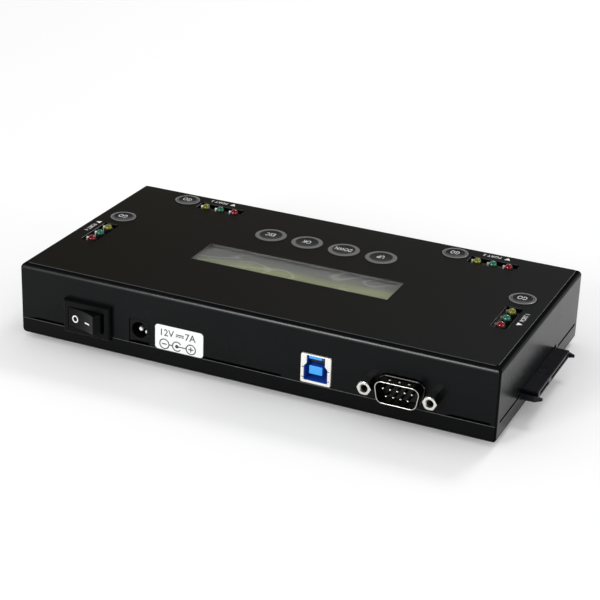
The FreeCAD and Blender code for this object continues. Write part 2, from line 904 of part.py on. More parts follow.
def switch_rocker():
    """Built level, about its pivot, then turned to its off position."""
    half = [(rocker_tip_x, rocker_tip_rise), (rocker_shoulder_x, rocker_shoulder_rise),
            (rocker_heel_x, -rocker_heel_drop), (rocker_keel_x, -rocker_keel_drop)]
    outline = half + [(-x, rise) for x, rise in reversed(half)] + rocker_face()
    height = well_height / 2 - rocker_side_gap
    body = prism([(switch_x + x, pivot_y - rise) for x, rise in outline],
                 switch_z - height, switch_z + height)
    tips = [e for e in edges_along(body, 2)
            if abs(e.BoundBox.YMin - (pivot_y - rocker_tip_rise)) < 1e-4]
    body = body.makeFillet(rocker_tip_round, tips)
    reach = well_height / 2 + trunnion_length
    trunnions = rod(switch_x, pivot_y, switch_z - reach, switch_z + reach, trunnion_radius)
    body = joined([body, trunnions])
    body.rotate(Vector(switch_x, pivot_y, 0), Vector(0, 0, 1), -rocker_throw / 2)
    return body


# ---- direct-current jack ----
def power_jack():
    nose = box(jack_x - jack_face_width / 2, jack_x + jack_face_width / 2, jack_face_y,
               inner_panel_y, underside + jack_face_bottom, underside + jack_face_top)
    body = box(jack_x - jack_body_width / 2, jack_x + jack_body_width / 2, inner_panel_y,
               jack_face_y + jack_length, main_board_top, underside + jack_face_top)
    floor = jack_face_y + jack_bore_depth
    bore = rod_y(jack_x, jack_z, jack_face_y - over, floor, jack_bore_radius)
    outer = jack_x + spring_inner + spring_bulge + spring_thickness + spring_fit
    spring_slot = box(jack_x + spring_inner, outer, jack_face_y + spring_setback - spring_fit,
                      floor, jack_z - spring_half_height - spring_fit,
                      jack_z + spring_half_height + spring_fit)
    tail_hole = prism_y(circle(jack_x, jack_z, jack_tail_radius, bore_sides), floor - over,
                        jack_face_y + jack_length + over)
    return joined([nose, body]).cut([bore, spring_slot, tail_hole])


def power_jack_pin():
    """A round pin in the bore, with a thinner tail through the jack's back."""
    start = jack_face_y + jack_pin_setback
    floor = jack_face_y + jack_bore_depth
    pin = rod_y(jack_x, jack_z, start, floor, jack_pin_radius)
    pin = pin.makeChamfer(jack_pin_edge, edges_at(pin, 1, start))
    tail = prism_y(circle(jack_x, jack_z, jack_tail_radius, bore_sides), floor,
                   jack_face_y + jack_length + jack_tail)
    return joined([pin, tail])


def power_jack_contact():
    """A leaf spring that lies along the wall of the bore and bulges inwards."""
    y0 = jack_face_y + spring_setback
    y1 = jack_face_y + jack_bore_depth - spring_fit
    middle = (y0 + y1) / 2
    inner = jack_x + spring_inner
    outer = inner + spring_bulge
    thick = spring_thickness
    outline = [(outer + thick, y0), (inner + thick, middle), (outer + thick, y1),
               (outer, y1), (inner, middle), (outer, y0)]
    return prism(outline, jack_z - spring_half_height, jack_z + spring_half_height)


# ---- USB socket ----
def usb_block(x_margin, y0, y1, bottom, top):
    half = usb_width / 2 - x_margin
    return box(usb_x - half, usb_x + half, y0, y1, underside + bottom, underside + top)


def usb_mouth(y0, y1):
    """The mouth of a nine-way type B socket: a wide body and a narrower neck on top."""
    half = [(usb_mouth_width / 2, usb_mouth_bottom), (usb_mouth_width / 2, usb_mouth_shoulder),
            (usb_mouth_neck_width / 2, usb_mouth_neck), (usb_mouth_neck_width / 2, usb_mouth_top)]
    outline = half + [(-x, level) for x, level in reversed(half)]
    return prism_y([(usb_x + x, underside + level) for x, level in outline], y0, y1)


def usb_shell():
    back = usb_face_y + usb_length
    outline = rectangle(usb_x, underside + (usb_bottom + usb_top) / 2, usb_width,
                        usb_top - usb_bottom)
    sleeve = prism_y(softened(outline, usb_corner), usb_face_y, back)
    hollow = usb_block(usb_wall, usb_insert_y, back + over, usb_bottom + usb_wall,
                       usb_top - usb_wall)
    y0 = usb_face_y + usb_leg_start
    legs = [box(*between(usb_x + side * usb_width / 2,
                         usb_x + side * (usb_width / 2 - usb_wall)), y0, y0 + usb_leg_length,
                main_board_top, underside + usb_bottom + usb_leg_lap) for side in (-1, 1)]
    shell = joined([sleeve.cut(hollow)] + legs)
    return shell.cut(usb_mouth(usb_face_y - over, usb_insert_y + over))


def usb_insert():
    block = usb_block(usb_wall, usb_insert_y, usb_face_y + usb_length, usb_bottom + usb_wall,
                      usb_top - usb_wall)
    floor = usb_insert_y + usb_well_depth
    end = floor + usb_tongue_root
    tongue = usb_block((usb_width - usb_tongue_width) / 2, usb_tongue_y, end,
                       usb_tongue_bottom, usb_tongue_top)
    tongue = tongue.makeChamfer(usb_tongue_edge, edges_at(tongue, 1, usb_tongue_y))
    upper = usb_block((usb_width - usb_upper_tongue_width) / 2, usb_tongue_y, end,
                      usb_upper_tongue_bottom, usb_upper_tongue_top)
    body = joined([block.cut(usb_mouth(usb_insert_y - over, floor)), tongue, upper])
    return body.cut(usb_strips())


def usb_strips():
    """Four contacts on the main tongue and five under the upper one, half sunk in them."""
    places = [(offset, level) for offset in mirrored([usb_contact_spread / 2])
              for level in (usb_tongue_bottom, usb_tongue_top)]
    middle = (usb_upper_contacts - 1) / 2
    places += [((i - middle) * usb_upper_contact_pitch, usb_upper_tongue_bottom)
               for i in range(usb_upper_contacts)]
    y0 = usb_tongue_y + usb_contact_setback
    y1 = usb_insert_y + usb_well_depth + usb_contact_root
    return [prism_y(rectangle(usb_x + offset, underside + level, usb_contact_width,
                              2 * usb_contact_thickness), y0, y1)
            for offset, level in places]


# ---- serial connector ----
def d_outline(grow):
    """The D of a nine-way shell, wider at its top, grown outwards all round."""
    half_top = serial_width / 2 + grow
    half_high = serial_height / 2 + grow
    half_low = half_top - 2 * half_high * math.tan(math.radians(serial_slant))
    corners = [(serial_x - half_low, serial_z - half_high),
               (serial_x + half_low, serial_z - half_high),
               (serial_x + half_top, serial_z + half_high),
               (serial_x - half_top, serial_z + half_high)]
    return softened(corners, serial_corner + grow)


def jackscrew_places():
    return [serial_x + offset for offset in mirrored([jackscrew_span / 2])]


def serial_shell():
    outline = rectangle(serial_x, serial_z, serial_flange_width, serial_flange_height)
    flange = prism_y(softened(outline, serial_flange_corner), inner_panel_y, flange_back_y)
    collar_y = panel_y - serial_collar_proud
    collar = Part.makeLoft([
        upright_wire(d_outline(serial_collar - serial_collar_edge), collar_y),
        upright_wire(d_outline(serial_collar), collar_y + serial_collar_edge),
        upright_wire(d_outline(serial_collar), flange_back_y)], True, True)
    skirt = prism_y(d_outline(0), serial_mouth_y, flange_back_y)
    hollow = prism_y(d_outline(-serial_wall), serial_mouth_y - over, flange_back_y + over)
    holes = [prism_y(circle(x, serial_z, jackscrew_stud_radius, bore_sides),
                     inner_panel_y - over, flange_back_y + over) for x in jackscrew_places()]
    return joined([flange, collar, skirt]).cut([hollow] + holes)


def pin_places():
    """Five pins above four, the lower row set half a pitch inwards."""
    places = []
    for count, side in ((5, 1), (4, -1)):
        first = serial_x - (count - 1) / 2 * pin_pitch
        places += [(first + i * pin_pitch, serial_z + side * pin_row_gap / 2)
                   for i in range(count)]
    return places


def pin_bar(x, z, y0, y1):
    return prism_y(circle(x, z, pin_radius, bore_sides), y0, y1)


def serial_insulator():
    end = inner_panel_y + serial_body_length
    plug = prism_y(d_outline(-serial_wall), panel_y - insulator_proud, flange_back_y)
    block = prism_y(rectangle(serial_x, serial_z, serial_body_width, serial_body_height),
                    flange_back_y, end)
    block_low = serial_z - serial_body_height / 2
    foot = centred(serial_x, (inner_panel_y + serial_foot_start + end) / 2, serial_body_width,
                   serial_body_length - serial_foot_start, main_board_top, block_low)
    holes = [pin_bar(x, z, panel_y - over, end + over) for x, z in pin_places()]
    return joined([plug, block, foot]).cut(holes)


def serial_pins():
    start = serial_mouth_y + pin_setback
    end = inner_panel_y + serial_body_length + pin_tail
    bars = [pin_bar(x, z, start, end) for x, z in pin_places()]
    return group(bar.makeChamfer(pin_edge, edges_at(bar, 1, start)) for bar in bars)


def serial_jackscrews():
    front = panel_y - jackscrew_length
    corner = jackscrew_across_flats / 2 / math.cos(math.radians(30))
    shapes = []
    for x in jackscrew_places():
        hexagon = prism_y(circle(x, serial_z, corner, 6), front, panel_y)
        stud = prism_y(circle(x, serial_z, jackscrew_stud_radius, bore_sides), panel_y,
                       panel_y + jackscrew_stud_length)
        hole = rod_y(x, serial_z, front - over, front + jackscrew_hole_depth,
                     jackscrew_hole_radius)
        shapes.append(joined([hexagon, stud]).cut(hole))
    return group(shapes)


# ---- write every piece ----
os.makedirs("parts", exist_ok=True)
write("base_pan", base_pan())
write("top_cover", top_cover())
write("rubber_feet", rubber_feet())
write("cover_posts", cover_posts())
write("case_screws", case_screws())
write("main_standoffs", main_standoffs())
write("control_standoffs", control_standoffs())
write("board_screws", board_screws())
write("main_board", main_board())
write("control_board", control_board())
write("board_link", board_link())
write("display_window", display_window())
write("display_bezel", display_bezel())
write("display_glass", display_glass())
write("display_backlight", display_backlight())
write("display_board", display_board())
write("control_overlay", control_overlay())
write("tact_switches", tact_switches())
write("led_holders", led_holders())
for name, (key_x, key_y, key_radius) in key_places.items():
    key_rim = menu_key_rim if name in menu_keys else go_key_rim
    write("key_" + name, key_cap(key_x, key_y, key_radius, key_rim))
    write("plunger_" + name, plunger(key_x, key_y))
for place, colour in enumerate(("yellow", "green", "red")):
    write("leds_" + colour, status_leds(place))
housing = port_housing()
for port in ports:
    write("port_housing_%d" % port, at_port(housing, port))
write("port_contacts", port_contacts())
write("switch_housing", switch_housing())
write("switch_rocker", switch_rocker())
write("switch_terminals", group(terminal_blades()))
write("power_jack", power_jack())
write("power_jack_pin", power_jack_pin())
write("power_jack_contact", power_jack_contact())
write("usb_shell", usb_shell())
write("usb_insert", usb_insert())
write("usb_contacts", group(usb_strips()))
write("serial_shell", serial_shell())
write("serial_insulator", serial_insulator())
write("serial_pins", serial_pins())
write("serial_jackscrews", serial_jackscrews())
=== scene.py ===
import bmesh
import bpy
import json
import math
import numpy as np
from mathutils import Matrix, Vector

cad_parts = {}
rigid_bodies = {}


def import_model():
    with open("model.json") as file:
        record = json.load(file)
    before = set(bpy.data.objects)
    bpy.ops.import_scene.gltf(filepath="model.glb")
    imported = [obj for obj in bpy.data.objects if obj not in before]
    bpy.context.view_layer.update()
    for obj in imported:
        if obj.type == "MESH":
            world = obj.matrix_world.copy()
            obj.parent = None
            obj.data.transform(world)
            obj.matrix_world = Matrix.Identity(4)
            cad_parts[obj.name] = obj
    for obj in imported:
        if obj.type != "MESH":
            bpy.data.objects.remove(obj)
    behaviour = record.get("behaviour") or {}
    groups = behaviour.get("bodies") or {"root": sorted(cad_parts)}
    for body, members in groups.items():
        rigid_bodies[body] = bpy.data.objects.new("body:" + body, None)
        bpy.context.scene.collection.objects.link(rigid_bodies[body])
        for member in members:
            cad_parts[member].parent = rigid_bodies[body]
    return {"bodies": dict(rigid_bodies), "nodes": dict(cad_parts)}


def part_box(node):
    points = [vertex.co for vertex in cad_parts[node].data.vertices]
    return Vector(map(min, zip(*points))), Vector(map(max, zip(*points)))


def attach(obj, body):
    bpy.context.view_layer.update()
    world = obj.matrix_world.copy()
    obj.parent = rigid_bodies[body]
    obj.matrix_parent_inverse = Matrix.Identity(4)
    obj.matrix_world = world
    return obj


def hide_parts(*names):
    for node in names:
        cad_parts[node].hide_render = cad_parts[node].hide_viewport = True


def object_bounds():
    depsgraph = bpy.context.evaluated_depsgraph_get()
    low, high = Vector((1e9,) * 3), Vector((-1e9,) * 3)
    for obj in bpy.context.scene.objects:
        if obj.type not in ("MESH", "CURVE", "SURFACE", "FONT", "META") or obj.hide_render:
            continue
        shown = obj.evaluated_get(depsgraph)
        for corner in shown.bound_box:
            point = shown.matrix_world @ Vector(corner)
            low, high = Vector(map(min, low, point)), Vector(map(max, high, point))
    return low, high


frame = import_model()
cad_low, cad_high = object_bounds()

# ---- Camera -------------------------------------------------------------------------------
# The box is seen from in front of its connector panel, from the right and a little above,
# with a long lens and a slight roll.
mm = 0.001
camera_azimuth, camera_elevation, camera_roll = 23.664, 24.216, 2.022      # degrees
camera_distance = 0.6894
camera_target = Vector((-0.9, -0.3, 16.8)) * mm


def way_to(azimuth, elevation):
    """The direction of a side and height in degrees, with azimuth 0 in front of the panel:
    (sin a cos e, -cos a cos e, sin e)."""
    a, e = math.radians(azimuth), math.radians(elevation)
    return Vector((math.sin(a) * math.cos(e), -math.cos(a) * math.cos(e), math.sin(e)))


camera_back = way_to(camera_azimuth, camera_elevation)
camera_side = Vector((-camera_back.y, camera_back.x, 0.0)).normalized()
camera_up = camera_back.cross(camera_side)
roll = math.radians(camera_roll)
rolled_side = math.cos(roll) * camera_side + math.sin(roll) * camera_up
rolled_up = math.cos(roll) * camera_up - math.sin(roll) * camera_side
camera_data = bpy.data.cameras.new("camera")
camera_data.sensor_width = 36.0
camera_data.lens = 105.656
camera = bpy.data.objects.new("camera", camera_data)
camera.matrix_world = Matrix((rolled_side, rolled_up, camera_back)).transposed().to_4x4()
camera.location = camera_target + camera_distance * camera_back
bpy.context.collection.objects.link(camera)
bpy.context.scene.camera = camera
bpy.context.scene.view_settings.view_transform = "Standard"


# ---- Floor --------------------------------------------------------------------------------
# A plain sheet of white paper under the box. It keeps the box's soft shadow, and looks a
# little lighter to the camera than the lamps make it, so that it stays white far away.
def join(socket, value):
    """Sets a socket to a value, or links it from another node's output."""
    if isinstance(value, bpy.types.NodeSocket):
        socket.id_data.links.new(value, socket)
    else:
        socket.default_value = value


def feed(node, **inputs):
    """Sets or links the inputs of a node by name, with _ for each space."""
    for name, value in inputs.items():
        join(node.inputs[name.replace("_", " ")], value)


def add_node(beside, kind, **inputs):
    """Adds a node to the tree of another node or output, with inputs set or linked by name."""
    node = beside.id_data.nodes.new(kind)
    feed(node, **inputs)
    return node


def new_material(name, **inputs):
    """A material and its Principled shader, whose inputs are given."""
    material = bpy.data.materials.new(name)
    material.use_nodes = True
    shader = material.node_tree.nodes["Principled BSDF"]
    feed(shader, **inputs)
    return material, shader


def add_maths(operation, first, second=0.0):
    """The output of a Math node between another node's output and a number or an output."""
    node = add_node(first, "ShaderNodeMath")
    node.operation = operation
    join(node.inputs[0], first)
    join(node.inputs[1], second)
    return node.outputs[0]


floor_reach = 4.0
floor_drop = 0.05 * mm
floor_white = 0.93
floor_lift = 0.13
paper, paper_shader = new_material(
    "floor_paper", Base_Color=(floor_white, floor_white, floor_white, 1), Roughness=0.9,
    Specular_IOR_Level=0.1, Emission_Color=(1, 1, 1, 1))
paper_rays = add_node(paper_shader, "ShaderNodeLightPath")
paper_glow = add_maths("MULTIPLY", paper_rays.outputs["Is Camera Ray"], floor_lift)
feed(paper_shader, Emission_Strength=paper_glow)
floor_z = cad_low[2] - floor_drop
floor_mesh = bpy.data.meshes.new("floor")
floor_mesh.from_pydata([(x * floor_reach, y * floor_reach, floor_z)
                        for x, y in ((-1, -1), (1, -1), (1, 1), (-1, 1))], [], [(0, 1, 2, 3)])
floor_mesh.materials.append(paper)
floor = bpy.data.objects.new("floor", floor_mesh)
bpy.context.collection.objects.link(floor)


# ---- Light --------------------------------------------------------------------------------
# A white studio with a dim ceiling: plain white where it is seen or mirrored low down, darker
# overhead. As a lamp the room is even, and three soft boxes add to it.
def add_ramp(source, stops):
    """A colour ramp fed by an output; each stop is its position and a colour or a grey."""
    ramp = add_node(source, "ShaderNodeValToRGB", Fac=source)
    elements = ramp.color_ramp.elements
    while len(elements) < len(stops):
        elements.new(0.5)
    for element, (position, colour) in zip(elements, stops):
        element.position = position
        element.color = (*np.broadcast_to(colour, 3), 1)
    return ramp.outputs["Color"]


def mixed_shader(share, first, second):
    """A Mix Shader node between two shaders, by a share of the second."""
    node = add_node(first, "ShaderNodeMixShader")
    for socket, value in zip(node.inputs, (share, first.outputs[0], second.outputs[0])):
        join(socket, value)
    return node


room_lamp_strength = 0.66
room_ceiling = 0.045
ceiling_starts = 0.06       # height of the direction, 0 at the horizon and 1 overhead
ceiling_full = 0.30
world = bpy.data.worlds.new("room")
bpy.context.scene.world = world
world.use_nodes = True
room = world.node_tree
for node in list(room.nodes):
    room.nodes.remove(node)
room_way = add_node(room, "ShaderNodeTexCoord").outputs["Generated"]
room_way = add_node(room, "ShaderNodeSeparateXYZ", Vector=room_way)
room_seen = add_node(room, "ShaderNodeBackground", Color=add_ramp(
    room_way.outputs["Z"], [(ceiling_starts, 1.0), (ceiling_full, room_ceiling)]))
room_lamp = add_node(room, "ShaderNodeBackground", Color=(1, 1, 1, 1),
                     Strength=room_lamp_strength)
room_rays = add_node(room, "ShaderNodeLightPath")
room_is_seen = room_rays.outputs["Is Camera Ray"]
for ray in ("Is Glossy Ray", "Is Transmission Ray"):
    room_is_seen = add_maths("MAXIMUM", room_is_seen, room_rays.outputs[ray])
room_pick = mixed_shader(room_is_seen, room_lamp, room_seen)
add_node(room, "ShaderNodeOutputWorld", Surface=room_pick.outputs[0])
lamp_distance = 1.3


def soft_box(name, azimuth, elevation, width, height, watts):
    """A rectangular lamp that faces the box from the given side and height."""
    back = way_to(azimuth, elevation)
    data = bpy.data.lights.new(name, "AREA")
    data.shape = "RECTANGLE"
    data.size = width
    data.size_y = height
    data.energy = watts
    lamp = bpy.data.objects.new(name, data)
    lamp.rotation_mode = "QUATERNION"
    lamp.rotation_quaternion = back.to_track_quat("Z", "Y")
    lamp.location = camera_target + lamp_distance * back
    bpy.context.collection.objects.link(lamp)


soft_box("lamp_back", 165.0, 46.0, 0.30, 0.24, 3.6)
soft_box("lamp_left", -17.5, 20.0, 0.36, 0.50, 6.5)
soft_box("lamp_right", 84.0, 14.0, 0.24, 0.24, 1.9)


# ---- Case: cover and pan ------------------------------------------------------------------
# Two folded trays of 1 mm sheet steel, the cover over the pan, under a fine satin black
# powder coat. Their folds and cut edges are softly rounded by the coat and catch the light.
def mixed(blend, share, first, second):
    """A colour Mix node's output; the first colour is an output, the others may be values."""
    node = add_node(first, "ShaderNodeMix")
    node.data_type = "RGBA"
    node.blend_type = blend
    for index, value in ((0, share), (6, first), (7, second)):
        join(node.inputs[index], value)
    return node.outputs[2]


def own_place(shader):
    """Each point's place in the object's own coordinates."""
    return add_node(shader, "ShaderNodeTexCoord").outputs["Object"]


def parts_of(vector):
    """The x, y and z of a vector."""
    return add_node(vector, "ShaderNodeSeparateXYZ", Vector=vector).outputs


def facing(shader):
    """The x, y and z of the way the surface faces."""
    return parts_of(add_node(shader, "ShaderNodeNewGeometry").outputs["Normal"])


def add_noise(place, scale, detail, **inputs):
    """A noise pattern of the given scale at a place; its share goes from 0 to 1."""
    return add_node(place, "ShaderNodeTexNoise", Vector=place, Scale=scale,
                    Detail=detail, **inputs).outputs["Fac"]


def around(share, middle, spread):
    """Turns a share of 0 to 1 into a value from middle - spread to middle + spread."""
    return add_node(share, "ShaderNodeMapRange", Value=share, To_Min=middle - spread,
                    To_Max=middle + spread).outputs["Result"]


def add_bump(shader, height, depth):
    """Lets a pattern stand out of the surface by a depth in mm."""
    bump = add_node(shader, "ShaderNodeBump", Height=height, Strength=1.0, Distance=depth * mm)
    feed(shader, Normal=bump.outputs["Normal"])
    return bump


def add_rounding(node, radius):
    """Rounds sharp edges by a radius in mm, as the surface of a shader or a bump."""
    rounding = add_node(node, "ShaderNodeBevel", Radius=radius * mm)
    rounding.samples = 6
    feed(node, Normal=rounding.outputs["Normal"])


def fold_gloss(shader, specular, tint, fold):
    """The gloss of folded sheet, from the way (x, y, z) that it faces. The tint rises to fold
    where -y z is large, on the bend between front and top. The specular level falls on bends
    at the sides, where x z is large, and is dulled where the sheet faces up or down and, where
    x y is large, on upright corners."""
    x, y, z = facing(shader)
    over_front = add_maths("MULTIPLY", add_maths("MULTIPLY", y, z), -1.0)
    over_side = add_maths("ABSOLUTE", add_maths("MULTIPLY", x, z))
    upright = add_maths("ABSOLUTE", add_maths("MULTIPLY", x, y))
    down = add_maths("MULTIPLY", z, -1.0)
    level = add_ramp(over_side, [(0.005, specular), (0.05, 0.04)])
    for value, bright_to, dull_from, share in (
            (z, 0.70, 0.80, 0.1), (down, 0.03, 0.25, 0.1), (upright, 0.03, 0.15, 0.15)):
        dull = add_ramp(value, [(bright_to, 1.0), (dull_from, share)])
        level = mixed("MULTIPLY", 1.0, level, dull)
    feed(shader, Specular_IOR_Level=level,
         Specular_Tint=add_ramp(over_front, [(0.04, tint), (0.22, fold)]))


def finish(name, colour, roughness, specular=0.5, tint=1.0, metallic=0.0, coat=0.0,
           mottle=0.12, cloud=70.0, spread=0.05, grain=0.5, depth=0.002, edge=0.0,
           fold=None, painted_shade_depths=None):
    """A rigid finish. A soft noise of the cloud's scale takes its colour up and down by the
    mottle's share of itself, and its roughness by the spread; a finer noise of the given grain
    and depth (mm) is its surface. Edge rounds sharp edges by that radius (mm). A tint under 1
    takes gloss away where the surface is seen square on, and fold is that tint on the front
    bend of folded sheet. With painted_shade_depths = (y, y, share) the colour falls to a share
    of itself between two depths (mm): painted shade and painted dark reflection behind a
    part's bright front."""
    material, shader = new_material(
        name, Specular_IOR_Level=specular, Specular_Tint=(tint, tint, tint, 1),
        Metallic=metallic, Coat_Weight=coat, Coat_Roughness=0.08)
    place = own_place(shader)
    soft = add_noise(place, cloud, 4.0, Roughness=0.6)
    dark = [c * (1 - mottle) for c in colour]
    pale = [min(1.0, c * (1 + mottle)) for c in colour]
    face = add_ramp(soft, [(0.3, dark), (0.7, pale)])
    # painted shade and painted dark reflection: the colour falls behind a part's front
    if painted_shade_depths:
        start, end, share = painted_shade_depths
        way = add_maths("SUBTRACT", parts_of(place)[1], start * mm)
        way = add_maths("DIVIDE", way, (end - start) * mm)
        face = mixed("MULTIPLY", 1.0, face, add_ramp(way, [(0.0, 1.0), (1.0, share)]))
    feed(shader, Base_Color=face, Roughness=around(soft, roughness, spread))
    if fold:
        fold_gloss(shader, specular, tint, fold)
    bump = add_bump(shader, add_noise(place, 1.0 / (grain * mm), 3.0), depth)
    if edge:
        add_rounding(bump, edge)
    return material


def dress(material, *nodes):
    """Gives CAD nodes their finish."""
    for node in nodes:
        for slot in frame["nodes"][node].material_slots:
            slot.material = material


dress(finish("case_powder_coat", (0.0038, 0.0043, 0.0047), 0.26, tint=0.2, grain=0.45,
             depth=0.0022, edge=0.28, fold=1.0), "top_cover")
dress(finish("pan_powder_coat", (0.0028, 0.0030, 0.0034), 0.24, tint=0.12, grain=0.45,
             depth=0.0022, edge=0.28, fold=0.5), "base_pan")


# ---- Feet ---------------------------------------------------------------------------------
# Four stick-on pads of black rubber under the pan's corners. Each is a moulded disc with a
# rounded lower edge and a shallow hollow in the middle.
def turned(profile, sides=72):
    """Rings round an upright axis: each (radius, height) pair, in mm, gives one ring."""
    radius, height = np.asarray(profile, float).T
    turn = np.arange(sides) * 2 * math.pi / sides
    ring = np.stack([np.cos(turn), np.sin(turn)], -1)
    flat = radius[:, None, None] * ring
    level = np.broadcast_to(height[:, None, None], flat[..., :1].shape)
    return np.concatenate([flat, level], -1)


def arc(centre, radius, start, end, steps=6):
    """Points on an arc from start to end degrees about centre; radius may be (rx, ry)."""
    turn = np.radians(np.linspace(start, end, steps + 1))
    return np.asarray(centre) + np.stack([np.cos(turn), np.sin(turn)], -1) * radius


def mounted(name, mesh, material, body):
    """An object of one material, made of a mesh in its place, that rides on a body."""
    mesh.materials.clear()
    mesh.materials.append(material)
    piece = bpy.data.objects.new(name, mesh)
    bpy.context.collection.objects.link(piece)
    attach(piece, body)
    return piece


def new_piece(name, shells, material, body, sharp=32.0):
    """One object at the origin from grids of rings, in mm. Neighbours in a grid are joined by
    quads, round each ring and from ring to ring. A shell is a grid, closed by a flat face at
    each end, or (grid, "loop"), whose last ring joins its first. Poles are merged, faces
    turned outwards, and edges sharper than the given angle stay sharp."""
    points, faces, first = [], [], 0
    for shell in shells:
        looped = isinstance(shell, tuple)
        grid = shell[0] if looped else shell
        rings, sides = grid.shape[:2]
        index = first + np.arange(rings * sides).reshape(rings, sides)
        low = index if looped else index[:-1]
        high = np.roll(index, -1, 0) if looped else index[1:]
        quads = np.stack([low, np.roll(low, -1, 1), np.roll(high, -1, 1), high], -1)
        faces += quads.reshape(-1, 4).tolist()
        if not looped:
            ends = ((index[0][::-1], grid[0]), (index[-1], grid[-1]))
            faces += [row.tolist() for row, ring in ends if np.ptp(ring, axis=0).max() > 1e-4]
        points.append(grid.reshape(-1, 3) * mm)
        first += rings * sides
    mesh = bpy.data.meshes.new(name)
    mesh.from_pydata(np.concatenate(points).tolist(), [], faces)
    shape = bmesh.new()
    shape.from_mesh(mesh)
    bmesh.ops.remove_doubles(shape, verts=shape.verts, dist=0.0001 * mm)
    bmesh.ops.recalc_face_normals(shape, faces=shape.faces)
    shape.to_mesh(mesh)
    shape.free()
    mesh.shade_smooth()
    mesh.set_sharp_from_angle(angle=math.radians(sharp))
    return mounted(name, mesh, material, body)


def corners_of(node):
    """The lowest and the highest corner of a node's box, in mm."""
    return [np.array(corner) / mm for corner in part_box(node)]


def middle_of(node):
    """The middle of a node's box, in mm."""
    return sum(corners_of(node)) / 2


rubber = finish("feet_rubber", (0.012, 0.012, 0.012), 0.75, specular=0.3, grain=0.3,
                depth=0.01)
foot_radius = 4.5
foot_edge = 0.45
hollow_rise = 0.35
feet_high = corners_of("rubber_feet")[1]
foot_x, foot_y = feet_high[:2] - foot_radius
foot_profile = np.vstack([
    [(0, hollow_rise), (2.2, hollow_rise), (2.6, 0.1), (2.9, 0.0)],
    arc((foot_radius - foot_edge, foot_edge), foot_edge, -90, 0),
    [(foot_radius, feet_high[2]), (0, feet_high[2])]])
four_corners = [(x, y) for x in (-1, 1) for y in (-1, 1)]
feet = new_piece("feet", [turned(foot_profile) + (x * foot_x, y * foot_y, 0)
                          for x, y in four_corners], rubber, "case")
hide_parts("rubber_feet")


# ---- Case screws --------------------------------------------------------------------------
# Four zinc-plated pan-head screws hold the pan to the posts. Their heads have a cross recess
# pressed into a low dome.
def step_down(value, edge, softness):
    """1 below the edge and 0 above it, with a straight slope of the given width between."""
    return np.clip((edge + softness / 2 - value) / softness, 0, 1)


zinc = finish("zinc_plate", (0.62, 0.62, 0.64), 0.32, metallic=1.0, edge=0.08)
case_screw_low, case_screw_high = corners_of("case_screws")
head_radius = 2.6
dome_radius, dome_rise = 2.45, 0.55
head_edge = 0.35
shank_radius = 1.5
recess_arm, recess_reach, recess_depth = 0.34, 1.35, 0.7
recess_side_slope, recess_end_slope = 0.12, 0.25
head_seat = corners_of("base_pan")[0][2]
screw_x, screw_y = case_screw_high[:2] - head_radius
dome = arc((0, case_screw_low[2] + dome_rise), (dome_radius, dome_rise), -90, -8, 18)
screw_grid = turned(np.vstack([dome, [
    (head_radius, head_seat - head_edge), (head_radius, head_seat), (shank_radius, head_seat),
    (shank_radius, case_screw_high[2]), (0, case_screw_high[2])]]), 96)
across = np.abs(screw_grid[..., :2]).min(-1)
along = np.abs(screw_grid[..., :2]).max(-1)
in_dome = np.arange(len(screw_grid))[:, None] < len(dome)
screw_grid[..., 2] += (recess_depth * in_dome
                       * step_down(across, recess_arm, recess_side_slope)
                       * step_down(along, recess_reach, recess_end_slope))
screws = new_piece("pan_head_screws", [screw_grid + (x * screw_x, y * screw_y, 0)
                                       for x, y in four_corners],
                   zinc, "case")
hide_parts("case_screws")

# ---- Control overlay ----------------------------------------------------------------------
# A printed polycarbonate film stuck on the cover, with a fine satin face. Its cut edges are
# clear; those that face right or left are painted pale, a painted highlight, and those that
# face the front a darker grey, painted shade.
film_left, film_right = (0.0068, 0.0050, 0.0020), (0.0138, 0.0141, 0.0144)
film_edge_side_highlight, film_edge_near_shade = (0.34, 0.34, 0.33, 1), (0.09, 0.09, 0.09, 1)
edge_on = 0.985             # a cut edge faces its way by more than this
film, film_shader = new_material(
    "overlay_film", Specular_IOR_Level=0.08, Specular_Tint=(0.2, 0.2, 0.2, 1), Roughness=0.30)
film_place = own_place(film_shader)
# its black goes from a warm one at the left to a grey one at the right, a little clouded
film_share = add_maths("MULTIPLY", parts_of(film_place)[0], 0.5 / cad_high[0])
film_share = add_maths("ADD", film_share, 0.35)
film_cloud = add_maths("MULTIPLY", add_noise(film_place, 14.0, 3.0), 0.3)
film_share = add_maths("ADD", film_share, film_cloud)
film_face = add_ramp(film_share, [(0.0, film_left), (1.0, film_right)])
# painted highlight on cut edges that face the sides, painted shade on those that face the front
film_x, film_y, _ = facing(film_shader)
film_near_shaded = add_maths("LESS_THAN", film_y, -edge_on)
film_side_lit = add_maths("GREATER_THAN", add_maths("ABSOLUTE", film_x), edge_on)
film_face = mixed("MIX", film_near_shaded, film_face, film_edge_near_shade)
feed(film_shader, Base_Color=mixed("MIX", film_side_lit, film_face, film_edge_side_highlight))
add_bump(film_shader, add_noise(film_place, 4500.0, 1.0), 0.0008)
dress(film, "control_overlay")

